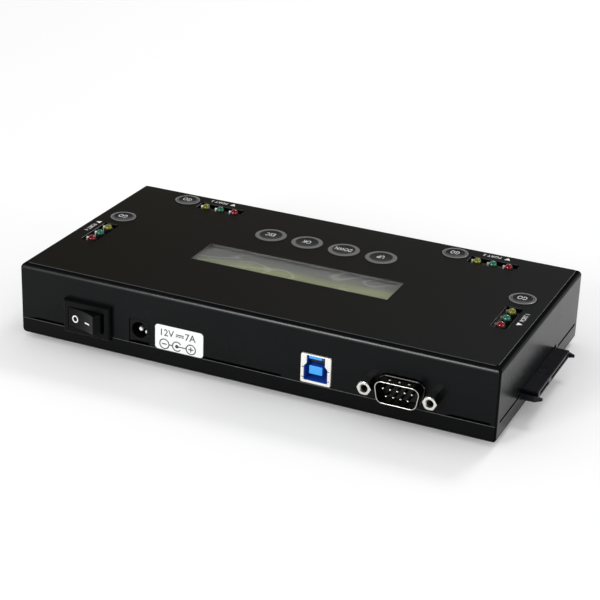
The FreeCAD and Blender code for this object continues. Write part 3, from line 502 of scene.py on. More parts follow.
# ---- Display ------------------------------------------------------------------------------
# A clear acrylic window over a blank character display: yellow-green glass with a backlight
# behind it, held in a grey steel bezel. A protective skin on the glass has faint creases. The
# glass's colour holds a painted reflection that turns its far part grey, and painted highlights
# along the creases.
pane, pane_shader = new_material(
    "display_pane", Base_Color=(0.95, 0.96, 0.94, 1), Transmission_Weight=1.0, Roughness=0.05,
    IOR=1.45)
add_bump(pane_shader, add_noise(own_place(pane_shader), 60.0, 2.0), 0.01)
pane_edge = add_node(pane_shader, "ShaderNodeBsdfDiffuse", Color=(0.24, 0.24, 0.235, 1))
pane_upright = add_maths("LESS_THAN", add_maths("ABSOLUTE", facing(pane_shader)[2]), 0.5)
pane_rays = add_node(pane_shader, "ShaderNodeLightPath")
pane_clear = add_node(pane_shader, "ShaderNodeBsdfTransparent")
pane_look = mixed_shader(pane_upright, pane_shader, pane_edge)
pane_look = mixed_shader(pane_rays.outputs["Is Shadow Ray"], pane_look, pane_clear)
feed(pane.node_tree.nodes["Material Output"], Surface=pane_look.outputs[0])
dress(pane, "display_window")

window_low, window_high = corners_of("display_window")
cell, cell_shader = new_material("display_cell", Roughness=0.35, Specular_IOR_Level=0.2)
cell_place = own_place(cell_shader)
cell_x, cell_y, _ = parts_of(cell_place)
cell_stretch = add_node(cell_shader, "ShaderNodeMapping", Vector=cell_place,
                        Scale=(30.0, 75.0, 1.0),
                        Rotation=(0, 0, math.radians(-7))).outputs["Vector"]
# the share of the way from the near edge to the far edge, with a wavering border, picks the
# colour: yellow-green near, grey further off as a painted reflection, which reaches further
# towards the left end
cell_reflection_share = add_maths("SUBTRACT", cell_y, float(window_low[1] * mm))
cell_reflection_share = add_maths("DIVIDE", cell_reflection_share, float((window_high[1] - window_low[1]) * mm))
cell_waver = add_noise(cell_stretch, 1.0, 3.0, Distortion=0.6)
cell_waver = add_maths("MULTIPLY", cell_waver, 0.45)
cell_reflection_share = add_maths("ADD", cell_reflection_share, cell_waver)
fade_end, fade_start = -41 * mm, -20 * mm
cell_reflection_left = add_node(cell_shader, "ShaderNodeMapRange", Value=cell_x, From_Min=fade_end,
                     From_Max=fade_start, To_Min=0.34, To_Max=0.0).outputs["Result"]
cell_reflection_share = add_maths("ADD", cell_reflection_share, cell_reflection_left)
cell_colour = add_ramp(cell_reflection_share, [
    (0.36, (0.50, 0.53, 0.31)), (0.62, (0.40, 0.42, 0.28)),
    (0.80, (0.27, 0.273, 0.25)), (1.0, (0.235, 0.236, 0.235))])
# pale lines along the creases of the skin: painted highlights
crease_highlight = add_noise(cell_stretch, 0.55, 1.0, Distortion=1.5)
crease_highlight = add_maths("ABSOLUTE", add_maths("SUBTRACT", crease_highlight, 0.5))
crease_highlight = add_ramp(crease_highlight, [(0.0, 0.16), (0.02, 0.0)])
feed(cell_shader, Base_Color=mixed("ADD", 1.0, cell_colour, crease_highlight))
dress(cell, "display_glass")
dress(finish("display_diffuser", (0.5, 0.55, 0.3), 0.5, edge=0.1), "display_backlight")
dress(finish("display_frame", (0.22, 0.22, 0.215), 0.45, specular=0.2, edge=0.1),
      "display_bezel")

# ---- Keys ---------------------------------------------------------------------------------
# Black moulded caps, each on a square flange under the cover. A grey rim slopes down from
# the face to the cap's edge, and the word on the face is printed in white.
def outline_of(corners, radius, steps=6):
    """A closed outline, anticlockwise, with each corner rounded by an arc of the radius."""
    corners = np.asarray(corners, float)
    back = np.roll(corners, 1, 0) - corners
    ahead = np.roll(corners, -1, 0) - corners
    back /= np.linalg.norm(back, axis=1, keepdims=True)
    ahead /= np.linalg.norm(ahead, axis=1, keepdims=True)
    half = np.arccos((back * ahead).sum(1)) / 2
    inwards = back + ahead
    inwards /= np.linalg.norm(inwards, axis=1, keepdims=True)
    centre = corners + inwards * (radius / np.sin(half))[:, None]
    start = corners + back * (radius / np.tan(half))[:, None] - centre
    bend = np.sign(ahead[:, 0] * back[:, 1] - ahead[:, 1] * back[:, 0])
    turn = (bend * (math.pi - 2 * half))[:, None] * np.linspace(0, 1, steps + 1)
    x = start[:, :1] * np.cos(turn) - start[:, 1:] * np.sin(turn)
    y = start[:, :1] * np.sin(turn) + start[:, 1:] * np.cos(turn)
    return (centre[:, None] + np.stack([x, y], -1)).reshape(-1, 2)


def rounded_box(width, height, radius, x=0.0, y=0.0, steps=6):
    """The outline of a rectangle about (x, y) with rounded corners."""
    w, h = width / 2, height / 2
    corners = [(x - w, y - h), (x + w, y - h), (x + w, y + h), (x - w, y + h)]
    return outline_of(corners, radius, steps)


def inset(outline, amount):
    """The outline moved inwards: each point goes along the mean of its edges' normals, far
    enough to leave both edges at the given distance."""
    edge = np.roll(outline, -1, 0) - outline
    edge /= np.linalg.norm(edge, axis=1, keepdims=True)
    normal = np.stack([-edge[:, 1], edge[:, 0]], -1)
    last = np.roll(normal, 1, 0)
    return outline + amount * (normal + last) / (1 + (normal * last).sum(1, keepdims=True))


def swept(outline, profile):
    """An outline carried up a profile: each (inset, height) pair of it gives one ring."""
    return np.stack([np.column_stack([inset(outline, amount), np.full(len(outline), height)])
                     for amount, height in profile])


def rounded_plate(outline, low, high, edge):
    """A plate from low to high, with its upper edge rounded."""
    rim = arc((edge, high - edge), edge, 180, 90, 4)
    return swept(outline, np.vstack([[(0, low)], rim]))


def key_finish(name, x, y, radius, rim, line, middle, gloss):
    """Black face, grey rim, dark side: the distance from the key's axis picks the colour. The
    rim has a line along either edge and a colour between them; where the lines are paler than
    the rim, as on the GO keys, they are painted highlights."""
    material, shader = new_material(name, Specular_IOR_Level=0.35)
    place = own_place(shader)
    flat = add_node(place, "ShaderNodeMapping", Vector=place,
                    Location=(-x / radius, -y / radius, 0),
                    Scale=(1 / (radius * mm), 1 / (radius * mm), 0))
    away = add_node(place, "ShaderNodeVectorMath")
    away.operation = "LENGTH"
    join(away.inputs[0], flat.outputs["Vector"])
    # each stop is a share of the cap's radius
    start = 1 - rim / radius
    colour = add_ramp(away.outputs["Value"], [
        (0.0, face_black), (start - 0.01, face_black), (start + 0.01, line),
        (start + 0.035, line), (start + 0.05, middle), (0.865, middle), (0.88, line),
        (0.985, line), (1.0, side_black)])
    grain = add_noise(place, 2600.0, 2.0)
    feed(shader, Base_Color=colour, Roughness=around(grain, gloss, 0.06))
    add_bump(shader, grain, 0.0015)
    return material


print_white = finish("print_white", (0.88, 0.88, 0.86), 0.5, specular=0.3, grain=0.2,
                     depth=0.001, mottle=0.05)


def printed_word(name, text, size, at, right, up, body, material=print_white,
                 weight=0.0, thick=0.02, narrow=1.0):
    """Lettering as a thin solid: its middle at a point, with its reading and upward directions
    given, in mm; weight fattens the strokes and narrow squeezes the letters."""
    curve = bpy.data.curves.new(name, "FONT")
    curve.body = text
    curve.size = size * mm
    curve.align_x = "CENTER"
    curve.align_y = "CENTER"
    curve.extrude = thick * mm
    curve.offset = weight * mm
    curve.resolution_u = 4
    flat = bpy.data.objects.new(name + "_curve", curve)
    bpy.context.collection.objects.link(flat)
    mesh = bpy.data.meshes.new_from_object(flat)
    bpy.data.objects.remove(flat)
    mesh.name = name
    right, up = Vector(right).normalized(), Vector(up).normalized()
    place = Matrix((right, up, right.cross(up))).transposed().to_4x4()
    place.translation = Vector(at) * mm
    mesh.transform(place @ Matrix.Diagonal((narrow, 1, 1, 1)))
    mounted(name, mesh, material, body)


menu_words = {"esc": "ESC", "ok": "OK", "down": "DOWN", "up": "UP"}
# width of the rim, play round the cap, colour of the rim's lines, colour and roughness of
# the rim between them; the GO keys' pale lines are painted highlights along the rim's edges
menu_look = (1.75, -0.1, (0.150, 0.150, 0.146), (0.150, 0.150, 0.146), 0.45)
go_look = (1.35, 0.12, (0.175, 0.177, 0.180), (0.080, 0.081, 0.083), 0.24)
face_black, side_black = (0.0165, 0.0170, 0.0178), (0.004, 0.004, 0.004)
rim_drop, rim_edge = 0.2, 0.07
rim_slope, rim_curve = 0.96, 1.8    # how much of the rim slopes, and the power of its fall
rim_fall = np.linspace(1, 0.06, 8)[:, None]
face_dish, dish_slope = 0.05, 0.25
flange_reach = 1.1          # from the cap to the edge of its flange
flange_thick, flange_corner, flange_edge = 0.6, 0.6, 0.08
key_word_size, key_word_raised = 4.1, 0.01
key_word_x, key_word_y = -0.2, 0.35        # from the key's middle
key_word_narrow = {"down": 0.52}           # the others are squeezed to 0.61
for key in [body[len("button_"):] for body in frame["bodies"] if body.startswith("button_")]:
    key_low, key_high = corners_of("key_" + key)
    key_x, key_y = (key_low[:2] + key_high[:2]) / 2
    rim, play, *rim_look = menu_look if key in menu_words else go_look
    side = key_high[0] - key_low[0]
    cap_radius = side / 2 - flange_reach - play
    face_radius = cap_radius - rim
    top, seat = key_high[2], key_low[2] + flange_thick
    # the rim falls ever more steeply from the face to its outer edge
    cap = np.vstack([
        [(0, seat), (cap_radius, seat)],
        arc((cap_radius - rim_edge, top - rim_drop - rim_edge), rim_edge, 0, 60, 4),
        np.hstack([face_radius + rim_slope * rim * rim_fall,
                   top - rim_drop * rim_fall ** rim_curve]),
        [(face_radius, top), (face_radius - dish_slope, top - face_dish),
         (0, top - face_dish)]])
    flange = rounded_plate(rounded_box(side, side, flange_corner), key_low[2], seat,
                           flange_edge)
    piece = new_piece("cap_" + key, [turned(cap, 96) + (key_x, key_y, 0),
                                     flange + (key_x, key_y, 0)],
                      key_finish("key_finish_" + key, key_x, key_y, cap_radius, rim,
                                 *rim_look),
                      "button_" + key, sharp=40.0)
    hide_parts("key_" + key)
    word_at = (key_x + key_word_x, key_y + key_word_y, top - face_dish + key_word_raised)
    printed_word("word_" + key, menu_words.get(key, "GO"), key_word_size, word_at,
                 (-1, 0, 0), (0, -1, 0), "button_" + key, weight=-0.03,
                 narrow=key_word_narrow.get(key, 0.61))
plunger_black = finish("plunger_black", (0.010, 0.010, 0.010), 0.5, edge=0.05)
dress(plunger_black, "tact_switches",
      *(node for node in frame["nodes"] if node.startswith("plunger_")))

# ---- Status lamps -------------------------------------------------------------------------
# Domed 3 mm lamps of tinted clear resin, yellow, green and red at each port. They stand in
# black holders under the slots, each in a thin collar beside the clip that holds it. The
# clips' pale grey, set port by port, is a painted highlight, and the holders are painted a
# lighter grey than black as painted light within the slots.
# the holders' grey is lighter than their black: painted light within the slots
dress(finish("holder_lit_grey", (0.11, 0.108, 0.098), 0.45, specular=0.4, edge=0.1),
      "led_holders")
lamp_tints = {"yellow": (0.19, 0.20, 0.008), "green": (0.012, 0.16, 0.085),
              "red": (0.20, 0.003, 0.008)}
lamp_radius, lamp_pitch = 1.5, 6.5
far_row = {2: 64.4, 3: -55.6}      # middles of the rows at the far wall
green_low, green_high = corners_of("leds_green")
left_row, near_row = green_low[:2] + lamp_radius
right_row, far_wall_row = green_high[:2] - lamp_radius
lamp_places = {}
for colour, offset in zip(lamp_tints, (-lamp_pitch, 0.0, lamp_pitch)):
    lamp_places[colour] = {4: (left_row, near_row - offset), 1: (right_row, near_row - offset),
                           2: (far_row[2] + offset, far_wall_row),
                           3: (far_row[3] + offset, far_wall_row)}
lamp_low, lamp_high = (corner[2] for corner in corners_of("leds_red"))
lamp_profile = np.vstack([[(0, lamp_low), (lamp_radius, lamp_low)],
                          arc((0, lamp_high - lamp_radius), lamp_radius, 0, 90, 12)])
for colour, tint in lamp_tints.items():
    resin = finish("lens_" + colour, tint, 0.07, specular=0.6, coat=1.0, mottle=0.25,
                   cloud=420.0, spread=0.02, depth=0.0002)
    lamps = new_piece("lamps_" + colour, [turned(lamp_profile, 48) + (x, y, 0)
                                          for x, y in lamp_places[colour].values()],
                      resin, "case")
    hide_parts("leds_" + colour)

collar_wall, collar_low, collar_rim = 0.3, 27.4, 30.75
collar_profile = np.vstack([
    [(lamp_radius + collar_wall, collar_low)],
    arc((lamp_radius + collar_wall / 2, collar_rim), collar_wall / 2, 0, 180, 6),
    [(lamp_radius, collar_low)]])
collar_black = finish("collar_black", (0.008, 0.008, 0.008), 0.4, specular=0.4)
new_piece("lamp_collars", [(turned(collar_profile, 40) + (x, y, 0), "loop")
                           for places in lamp_places.values() for x, y in places.values()],
          collar_black, "case")

clip_outline = rounded_box(1.1, 0.75, 0.25)
clip_low, clip_top, clip_edge = 28.5, 31.3, 0.15
clip_off = (-2.0, 0.3, 0)          # from the lamp's axis
# each port's clips get their own grey: painted highlight, strongest at port 3
clip_highlight_shades = {1: 0.14, 2: 0.5, 3: 0.95, 4: 0.75}
for port, shade in clip_highlight_shades.items():
    clip_highlight_look = finish("clip_%d" % port, (shade, shade, shade * 0.97), 0.3, mottle=0.2)
    clip = rounded_plate(clip_outline, clip_low, clip_top, clip_edge) + clip_off
    new_piece("lamp_clips_%d" % port, [clip + (*places[port], 0)
                                       for places in lamp_places.values()],
              clip_highlight_look, "case")

# ---- Port labels --------------------------------------------------------------------------
# White print on the overlay: a solid triangle that points at the port, and beside it the word
# PORT with the port's number in a slightly greyer white.
label_size, label_narrow = 2.65, 0.87
label_off = 6.4             # from the triangle's middle to the label's, the way it is read
label_thick = 0.01
label_z = corners_of("control_overlay")[1][2] + label_thick
triangle_size = 2.5
triangle = np.array([(-0.5, 0.42), (0.0, -0.42), (0.5, 0.42)]) * triangle_size
print_grey = finish("print_grey", (0.85, 0.85, 0.84), 0.5, mottle=0.25, cloud=900.0)
# port: (middle of the triangle, reading direction)
port_labels = {1: ((91.5, -11.3), (0, 1, 0)), 2: ((68.3, 45.0), (-1, 0, 0)),
               3: ((-52.8, 45.0), (-1, 0, 0)), 4: ((-92.5, 1.3), (0, -1, 0))}
for port, (triangle_at, reading) in port_labels.items():
    reading = np.array(reading, float)
    label_up = np.cross((0, 0, 1), reading)
    tip = outline_of(triangle @ np.stack([reading[:2], label_up[:2]]) + triangle_at, 0.08, 2)
    new_piece("triangle_%d" % port, [swept(tip, [(0, label_z - label_thick),
                                                 (0, label_z + label_thick)])],
              print_white, "case")
    printed_word("label_port_%d" % port, "PORT %d" % port, label_size,
                 np.array([*triangle_at, label_z]) + reading * label_off, reading, label_up,
                 "case", print_grey, narrow=label_narrow)

# ---- Drive ports --------------------------------------------------------------------------
# Black moulded drive connectors that stand out of three walls, each with a flat slab, two
# contact slots and a pointed guide arm at either end. Gilt contacts lie on the slots' floors.
dress(finish("port_moulding", (0.0062, 0.0066, 0.0105), 0.28, tint=0.5, grain=0.3,
             depth=0.003, edge=0.18),
      *("port_housing_%d" % port for port in port_labels))
gilt = finish("contact_gilt", (0.78, 0.62, 0.34), 0.25, metallic=1.0, depth=0.001,
              mottle=0.08, edge=0.08)
dress(gilt, "port_contacts")


# ---- Power switch -------------------------------------------------------------------------
# A black nylon rocker switch that snaps into the panel. The rocker has a hollow face between
# two tips; O and a bar for on are printed on it in white.
def face_rise(x):
    """The hollow face of the level rocker: its rise grows with the square of x."""
    return valley + (tip_rise - valley) * (x / tip_x) ** 2


def on_rocker(grid):
    """Turns (x, rise, height) points of the level rocker to its off position."""
    x, rise, height = np.moveaxis(grid, -1, 0)
    turned_x = x * math.cos(rocker_turn) - rise * math.sin(rocker_turn)
    turned_rise = x * math.sin(rocker_turn) + rise * math.cos(rocker_turn)
    return np.stack([switch_x + turned_x, pivot_y - turned_rise, switch_z + height], -1)


def on_rocker_face(grid):
    """Lays a flat mark, drawn in (x, height), on the rocker's hollow face."""
    x, height, proud = np.moveaxis(grid, -1, 0)
    return on_rocker(np.stack([x, face_rise(x) + proud, height], -1))


def ribbon(path, width, thick, closed=False):
    """A flat strip along a path in a plane: rings of four corners across the path."""
    path = np.asarray(path, float)
    if closed:
        ahead = np.roll(path, -1, 0) - np.roll(path, 1, 0)
    else:
        ahead = np.gradient(path, axis=0)
    ahead /= np.linalg.norm(ahead, axis=1, keepdims=True)
    side = np.stack([-ahead[:, 1], ahead[:, 0]], -1) * width / 2
    level = np.full((len(path), 1), thick / 2)
    left, right = path + side, path - side
    grid = np.stack([np.hstack([right, -level]), np.hstack([left, -level]),
                     np.hstack([left, level]), np.hstack([right, level])], 1)
    return (grid, "loop") if closed else grid


def moved(shell, move):
    """The shell with its points moved, whether it is a grid or a loop."""
    return (move(shell[0]), "loop") if isinstance(shell, tuple) else move(shell)


switch_black = finish("switch_nylon", (0.0030, 0.0032, 0.0036), 0.30, tint=0.14, grain=0.4,
                      depth=0.003, edge=0.25)
dress(switch_black, "switch_housing")
dress(gilt, "switch_terminals")
switch_x, _, switch_z = middle_of("switch_housing")
pivot_depth = 2.6
pivot_y = corners_of("switch_housing")[0][1] + pivot_depth
rocker_turn = math.radians(15.0)
tip_x, tip_rise, valley = 6.57, 4.66, 3.75
rocker_half, rocker_rim = 4.0, 0.3      # half of its height along the pivot
rocker_corner, corner_steps = 0.38, 6
rocker_sides = [(tip_x, tip_rise), (7.3, 1.5), (7.1, -1.2), (3.4, -3.4)]
face_x = np.linspace(tip_x - 0.5, 0.5 - tip_x, 25)
face_line = np.column_stack([face_x, face_rise(face_x)])
# the outline's first and last corners are where the face goes on, and stay without an arc
round_part = outline_of([face_line[-1]] + [(-x, rise) for x, rise in rocker_sides]
                        + rocker_sides[::-1] + [face_line[0]], rocker_corner, corner_steps)
rocker_outline = np.vstack([round_part[corner_steps + 1:-corner_steps - 1], face_line])
rocker_profile = np.vstack([arc((rocker_rim, rocker_rim - rocker_half), rocker_rim, 270, 180, 4),
                            arc((rocker_rim, rocker_half - rocker_rim), rocker_rim, 180, 90, 4)])
rocker = new_piece("rocker", [on_rocker(swept(rocker_outline, rocker_profile))],
                   switch_black, "power_rocker", sharp=40.0)
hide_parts("switch_rocker")

mark_thick = 0.05
off_ring = ribbon(arc((-3.6, -0.4), (1.12, 1.25), 0, 352.5, 47), 0.52, mark_thick, closed=True)
on_bar = ribbon(np.column_stack([np.linspace(1.35, 4.0, 12), np.full(12, -0.45)]), 0.6,
                mark_thick)
new_piece("rocker_marks", [moved(mark, on_rocker_face) for mark in (off_ring, on_bar)],
          print_white, "power_rocker")


# ---- Edge of the pan ----------------------------------------------------------------------
# The cut edge of the pan under the cover, with a thin bead along it whose pale grey is a
# painted highlight. Over it, where the cover's lower edge is relieved, black strips on the
# panel and the right wall are painted shadow in the gap.
def on_panel(grid, x, z):
    """Stands a shape up on the connector panel: its height points out of the panel."""
    u, v, w = np.moveaxis(np.asarray(grid, float), -1, 0)
    return np.stack([x + u, panel_y - w, z + v], -1)


def relief(start, end, slope):
    """A thin strip from start to end, with its upper edge cut back at its start; in black it is
    a painted shadow in the gap under the cover.
    """
    corners = [(start, 0), (end, 0), (end, relief_tall), (start + slope, relief_tall)]
    return rounded_plate(outline_of(corners, 0.1), -relief_sunk, relief_out, 0.01)


panel_y = corners_of("top_cover")[0][1]
pan_low, pan_high = corners_of("base_pan")
pan_edge_z = 8.42
bead_sunk, bead_radius = 0.01, 0.12
bead_path = rounded_box(pan_high[0] - pan_low[0] - 2 * bead_sunk,
                        2 * (abs(panel_y) - bead_sunk), 1.0)
bead = swept(bead_path, arc((bead_radius / 2, pan_edge_z), bead_radius, 0, 330, 11))
# the bead's pale grey: painted highlight along the pan's edge
bead_highlight = finish("bead_highlight", (0.078, 0.080, 0.084), 0.3, mottle=0.3, cloud=260.0)
new_piece("pan_edge_highlight", [(bead, "loop")], bead_highlight, "case", sharp=60.0)

relief_low, relief_tall = 8.75, 0.85
relief_sunk, relief_out = 0.2, 0.012
gap_shadows = [on_panel(relief(start, end, 3.0), 0, relief_low)
           for start, end in ((-93.5, -78.0), (-50.5, -41.0), (-39.0, 14.0), (77.5, 95.0))]
for start, end in ((-46.0, -23.5), (24.0, 46.0)):
    u, v, w = np.moveaxis(relief(start, end, 0.0), -1, 0)
    gap_shadows.append(np.stack([pan_high[0] + w, u, relief_low + v], -1))
# near black without gloss: painted shadow in the gap under the cover's edge
gap_shadow_black = finish("gap_shadow_black", (0.0006, 0.0006, 0.0006), 0.8, specular=0.0)
new_piece("cover_gap_shadows", gap_shadows, gap_shadow_black, "case")

# ---- Power jack ---------------------------------------------------------------------------
# A black moulded barrel jack behind a square cut-out, with a nickel centre pin and a leaf
# spring along the wall of its bore. A small bright bead by the spring is a painted highlight,
# as are the white of the spring and of the pin's tip; behind its tip the pin is darkened as
# painted shade in the bore.
dress(finish("jack_moulding", (0.0040, 0.0040, 0.0044), 0.33, tint=0.2, grain=0.3,
             depth=0.003, edge=0.2), "power_jack")
# the pin: white at its tip as a painted highlight, darkened behind it as painted shade
dress(finish("jack_pin", (1.0, 1.0, 0.98), 0.3, metallic=0.2, edge=0.2,
             painted_shade_depths=(-48.3, -47.9, 0.08)), "power_jack_pin")
# pale nickel that stands in for glints: painted highlight on the spring, its bead and the
# shell's dimples
nickel_glint = finish("nickel_glint", (0.95, 0.95, 0.93), 0.25, metallic=0.35, edge=0.2)
dress(nickel_glint, "power_jack_contact")
jack_x, _, jack_z = middle_of("power_jack_pin")
tip_right, tip_down, tip_behind = 2.6, 0.45, 1.0    # from the pin's axis and the panel
# a small bright bead by the spring: painted highlight
spring_glint = turned(arc((0, -tip_behind), (0.6, 0.45), 90, -90, 12), 32) * (0.8, 1.25, 1)
new_piece("jack_spring_glint", [on_panel(spring_glint, jack_x + tip_right, jack_z - tip_down)],
          nickel_glint, "case")


# ---- Rating sticker -----------------------------------------------------------------------
# A white paper sticker beside the jack, with the supply's voltage, current and polarity in
# thin grey print.
def stroke(*points):
    """A printed line from point to point."""
    return ribbon(points, line, line_thick)


sticker_width, sticker_height, sticker_corner, sticker_thick = 20.3, 10.1, 1.3, 0.12
sticker_x, sticker_z = -28.15, 13.65
paper_white = finish("sticker_paper", (0.95, 0.955, 0.96), 0.45, specular=0.4, grain=0.15,
                     mottle=0.02)
sticker_grey = finish("sticker_print", (0.025, 0.026, 0.028), 0.5, mottle=0.15)
plate = rounded_plate(rounded_box(sticker_width, sticker_height, sticker_corner), 0,
                      sticker_thick, 0.05)
new_piece("rating_sticker", [on_panel(plate, sticker_x, sticker_z)], paper_white, "case")
print_x = sticker_x - 0.6
print_out = sticker_thick + 0.005
line, line_thick = 0.42, 0.02
sign_row, text_row = -2.6, 1.95         # from the sticker's middle
sign_x, sign_radius, sign_arm = 5.6, 1.95, 1.05
cup_x, dot_radius = -0.3, 0.72
# minus and plus in their rings, joined by lines to the cup and to the dot within it
full_turn = arc((0, sign_row), sign_radius, 0, 352.5, 47)
signs = [ribbon(full_turn + (x, 0), line, line_thick, closed=True) for x in (-sign_x, sign_x)]
signs += [stroke((x - sign_arm, sign_row), (x + sign_arm, sign_row))
          for x in (-sign_x, sign_x)]
signs += [stroke((sign_x, sign_row - sign_arm), (sign_x, sign_row + sign_arm)),
          stroke((sign_radius - sign_x, sign_row), (-2.2, sign_row)),
          stroke((sign_x - sign_radius, sign_row), (0.4, sign_row)),
          stroke(*arc((cup_x, sign_row), sign_radius * 0.95, 32, 322, 40)),
          turned([(0, -line_thick / 2), (dot_radius, -line_thick / 2),
                  (dot_radius, line_thick / 2), (0, line_thick / 2)], 32)
          + (cup_x, sign_row, 0)]
# the sign for direct current: a line over three dashes
current_x, dash, dash_pitch = -0.75, 0.9, 1.2
current_top, current_low = text_row + 0.3, text_row - 0.4
signs.append(stroke((current_x, current_top), (current_x + 2 * dash_pitch + dash, current_top)))
signs += [stroke((x, current_low), (x + dash, current_low))
          for x in (current_x + dash_pitch * np.arange(3))]
new_piece("rating_signs", [moved(sign, lambda grid: on_panel(grid + (0, 0, print_out), print_x,
                                                             sticker_z)) for sign in signs],
          sticker_grey, "case")
for name, text, middle in (("rating_volts", "12V", -4.7), ("rating_amps", "7A", 5.3)):
    printed_word(name, text, 3.9, (print_x + middle, panel_y - print_out,
                                   sticker_z + text_row), (1, 0, 0), (0, 0, 1), "case",
                 sticker_grey, weight=0.025, thick=0.01)


# ---- USB socket ---------------------------------------------------------------------------
# A type B socket: a folded tin-plated shell, a blue moulded insert with two tongues, and gilt
# contacts on the tongues. Slits beside the mouth show where the shell's tabs are folded; black
# strips in them and a black block in the insert's slot are painted shade, and the insert's blue
# is painted lighter where it faces the front.
def reach_of(node):
    """How far the front and the back of a node's box stand out of the panel, in mm."""
    low, high = corners_of(node)
    return panel_y - low[1], panel_y - high[1]


def at_usb(grid):
    """Places a shape drawn about the socket's middle on the panel."""
    return on_panel(grid, usb_x, usb_z)


def points_at(values, along, outline):
    """Points between those of an outline, where what rises along it has the given values."""
    return np.stack([np.interp(values, along, side) for side in outline.T], -1)


def by_angle(outline):
    """The closed outline again, with 240 points at even angles about the origin."""
    angle = np.arctan2(outline[:, 1], outline[:, 0])
    order = np.argsort(angle)
    angle, outline = angle[order], outline[order]
    angle = np.concatenate([angle[-1:] - 2 * math.pi, angle, angle[:1] + 2 * math.pi])
    return points_at(np.linspace(-math.pi, math.pi, 240, endpoint=False), angle,
                     np.vstack([outline[-1:], outline, outline[:1]]))


tin = finish("tin_plate", (0.97, 0.95, 0.90), 0.34, metallic=0.25, grain=0.6, depth=0.0015,
             mottle=0.05)
usb_x, usb_z = middle_of("usb_shell")[0], 14.725
usb_face, usb_back = reach_of("usb_shell")
usb_wide, usb_tall, usb_sheet = 12.0, 11.65, 0.4
usb_bend, mouth_bend = 0.35, 0.15
mouth_low, mouth_shoulder, mouth_neck, mouth_top = -4.78, 0.87, 2.07, 5.37
mouth_half, neck_half = 4.7, 3.63
usb_outer = by_angle(rounded_box(usb_wide, usb_tall, 0.7, steps=12))
usb_inner = by_angle(rounded_box(usb_wide - 2 * usb_sheet, usb_tall - 2 * usb_sheet, 0.3,
                                 steps=8))
mouth_right = [(mouth_half, mouth_low), (mouth_half, mouth_shoulder),
               (neck_half, mouth_neck), (neck_half, mouth_top)]
usb_mouth = by_angle(outline_of(mouth_right + [(-x, y) for x, y in mouth_right[::-1]], 0.2, 5))
insert_front = usb_face - usb_sheet
sleeve = swept(usb_outer, np.vstack([
    [(0, usb_back)], arc((usb_bend, usb_face - usb_bend), usb_bend, 180, 90, 5)]))
mouth_rim = swept(usb_mouth, np.vstack([
    arc((-mouth_bend, usb_face - mouth_bend), mouth_bend, 90, 0, 3), [(0, insert_front)]]))
lining = swept(usb_inner, [(0, insert_front), (0, usb_back)])
usb_shell = new_piece("usb_shell_folded", [(at_usb(np.concatenate([sleeve, mouth_rim, lining])),
                                            "loop")],
                      tin, "case", sharp=50.0)
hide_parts("usb_shell")
dress(gilt, "usb_contacts")

# black strips on the slits and a black block in the slot: painted shade
painted_shade_black = finish("painted_shade_black", (0.01, 0.01, 0.01), 0.6)
slit_wide, slit_thick, slit_end = 0.3, 0.03, mouth_half + 0.75
slits = [ribbon([(side * mouth_half, height), (side * slit_end, height)], slit_wide, slit_thick)
         for side in (-1, 1) for height in (0.35, -3.6)]
new_piece("usb_slits", [at_usb(slit + (0, 0, usb_face)) for slit in slits], painted_shade_black, "case")

blue, blue_shader = new_material("usb_blue", Roughness=0.3)
# painted light and shade: brighter where it faces the front, darker elsewhere, and a little
# cloudy
blue_front_lit = add_maths("MULTIPLY", facing(blue_shader)[1], -0.9)
blue_cloud = add_noise(own_place(blue_shader), 500.0, 3.0)
blue_cloud = add_maths("MULTIPLY", blue_cloud, 0.15)
blue_lit_share = add_maths("ADD", blue_front_lit, blue_cloud)
feed(blue_shader, Base_Color=add_ramp(blue_lit_share, [
    (0.15, (0.012, 0.085, 0.52)), (0.75, (0.055, 0.39, 0.95))]))
add_rounding(blue_shader, 0.15)
well_depth = 9.6
well_floor = insert_front - well_depth


def in_well(width, height, x, y, corner, behind, edge):
    """A block on the well's floor, up to a depth behind the insert's front."""
    outline = rounded_box(width, height, corner, x, y)
    return at_usb(rounded_plate(outline, well_floor - 0.2, insert_front - behind, edge))


slot = in_well(6.4, 1.7, x=0.4, y=2.9, corner=0.2, behind=2.0, edge=0.1)
tongue = in_well(5.3, 3.4, x=-0.2, y=-0.5, corner=0.35, behind=0.25, edge=0.3)
upper_tongue = in_well(5.2, 1.25, x=-0.35, y=4.6, corner=0.2, behind=0.15, edge=0.15)
# the insert's slot in black: painted shade
new_piece("usb_slot", [slot], painted_shade_black, "case")
block = swept(usb_inner, [(0.02, well_floor - 0.5), (0.02, insert_front)])
well = swept(usb_mouth, [(0, insert_front), (0, well_floor)])
insert = new_piece("usb_insert_moulded",
                   [at_usb(np.concatenate([block, well])), tongue, upper_tongue],
                   blue, "case", sharp=50.0)
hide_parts("usb_insert")


# ---- Serial connector ---------------------------------------------------------------------
# A 9-way plug: a drawn nickel shell with a rolled lip, pressed dimples and a collar on its
# flange, a black insulator, nine round-nosed pins, and two hexagonal jack screws. The nickel is
# bright only at the parts' fronts and darkened behind them as painted shade and painted dark
# reflection, and bright studs in the dimples are painted glints.
def at_serial(grid, x=0.0, y=0.0):
    """Places a shape drawn about the plug's middle, moved by (x, y), on the panel."""
    return on_panel(grid, serial_x + x, serial_z + y)


def evenly(outline):
    """The closed outline again, with 260 points at even steps along its length."""
    closed = np.vstack([outline, outline[:1]])
    run = np.concatenate([[0], np.cumsum(np.linalg.norm(np.diff(closed, axis=0), axis=1))])
    return points_at(np.linspace(0, run[-1], 260, endpoint=False), run, closed)


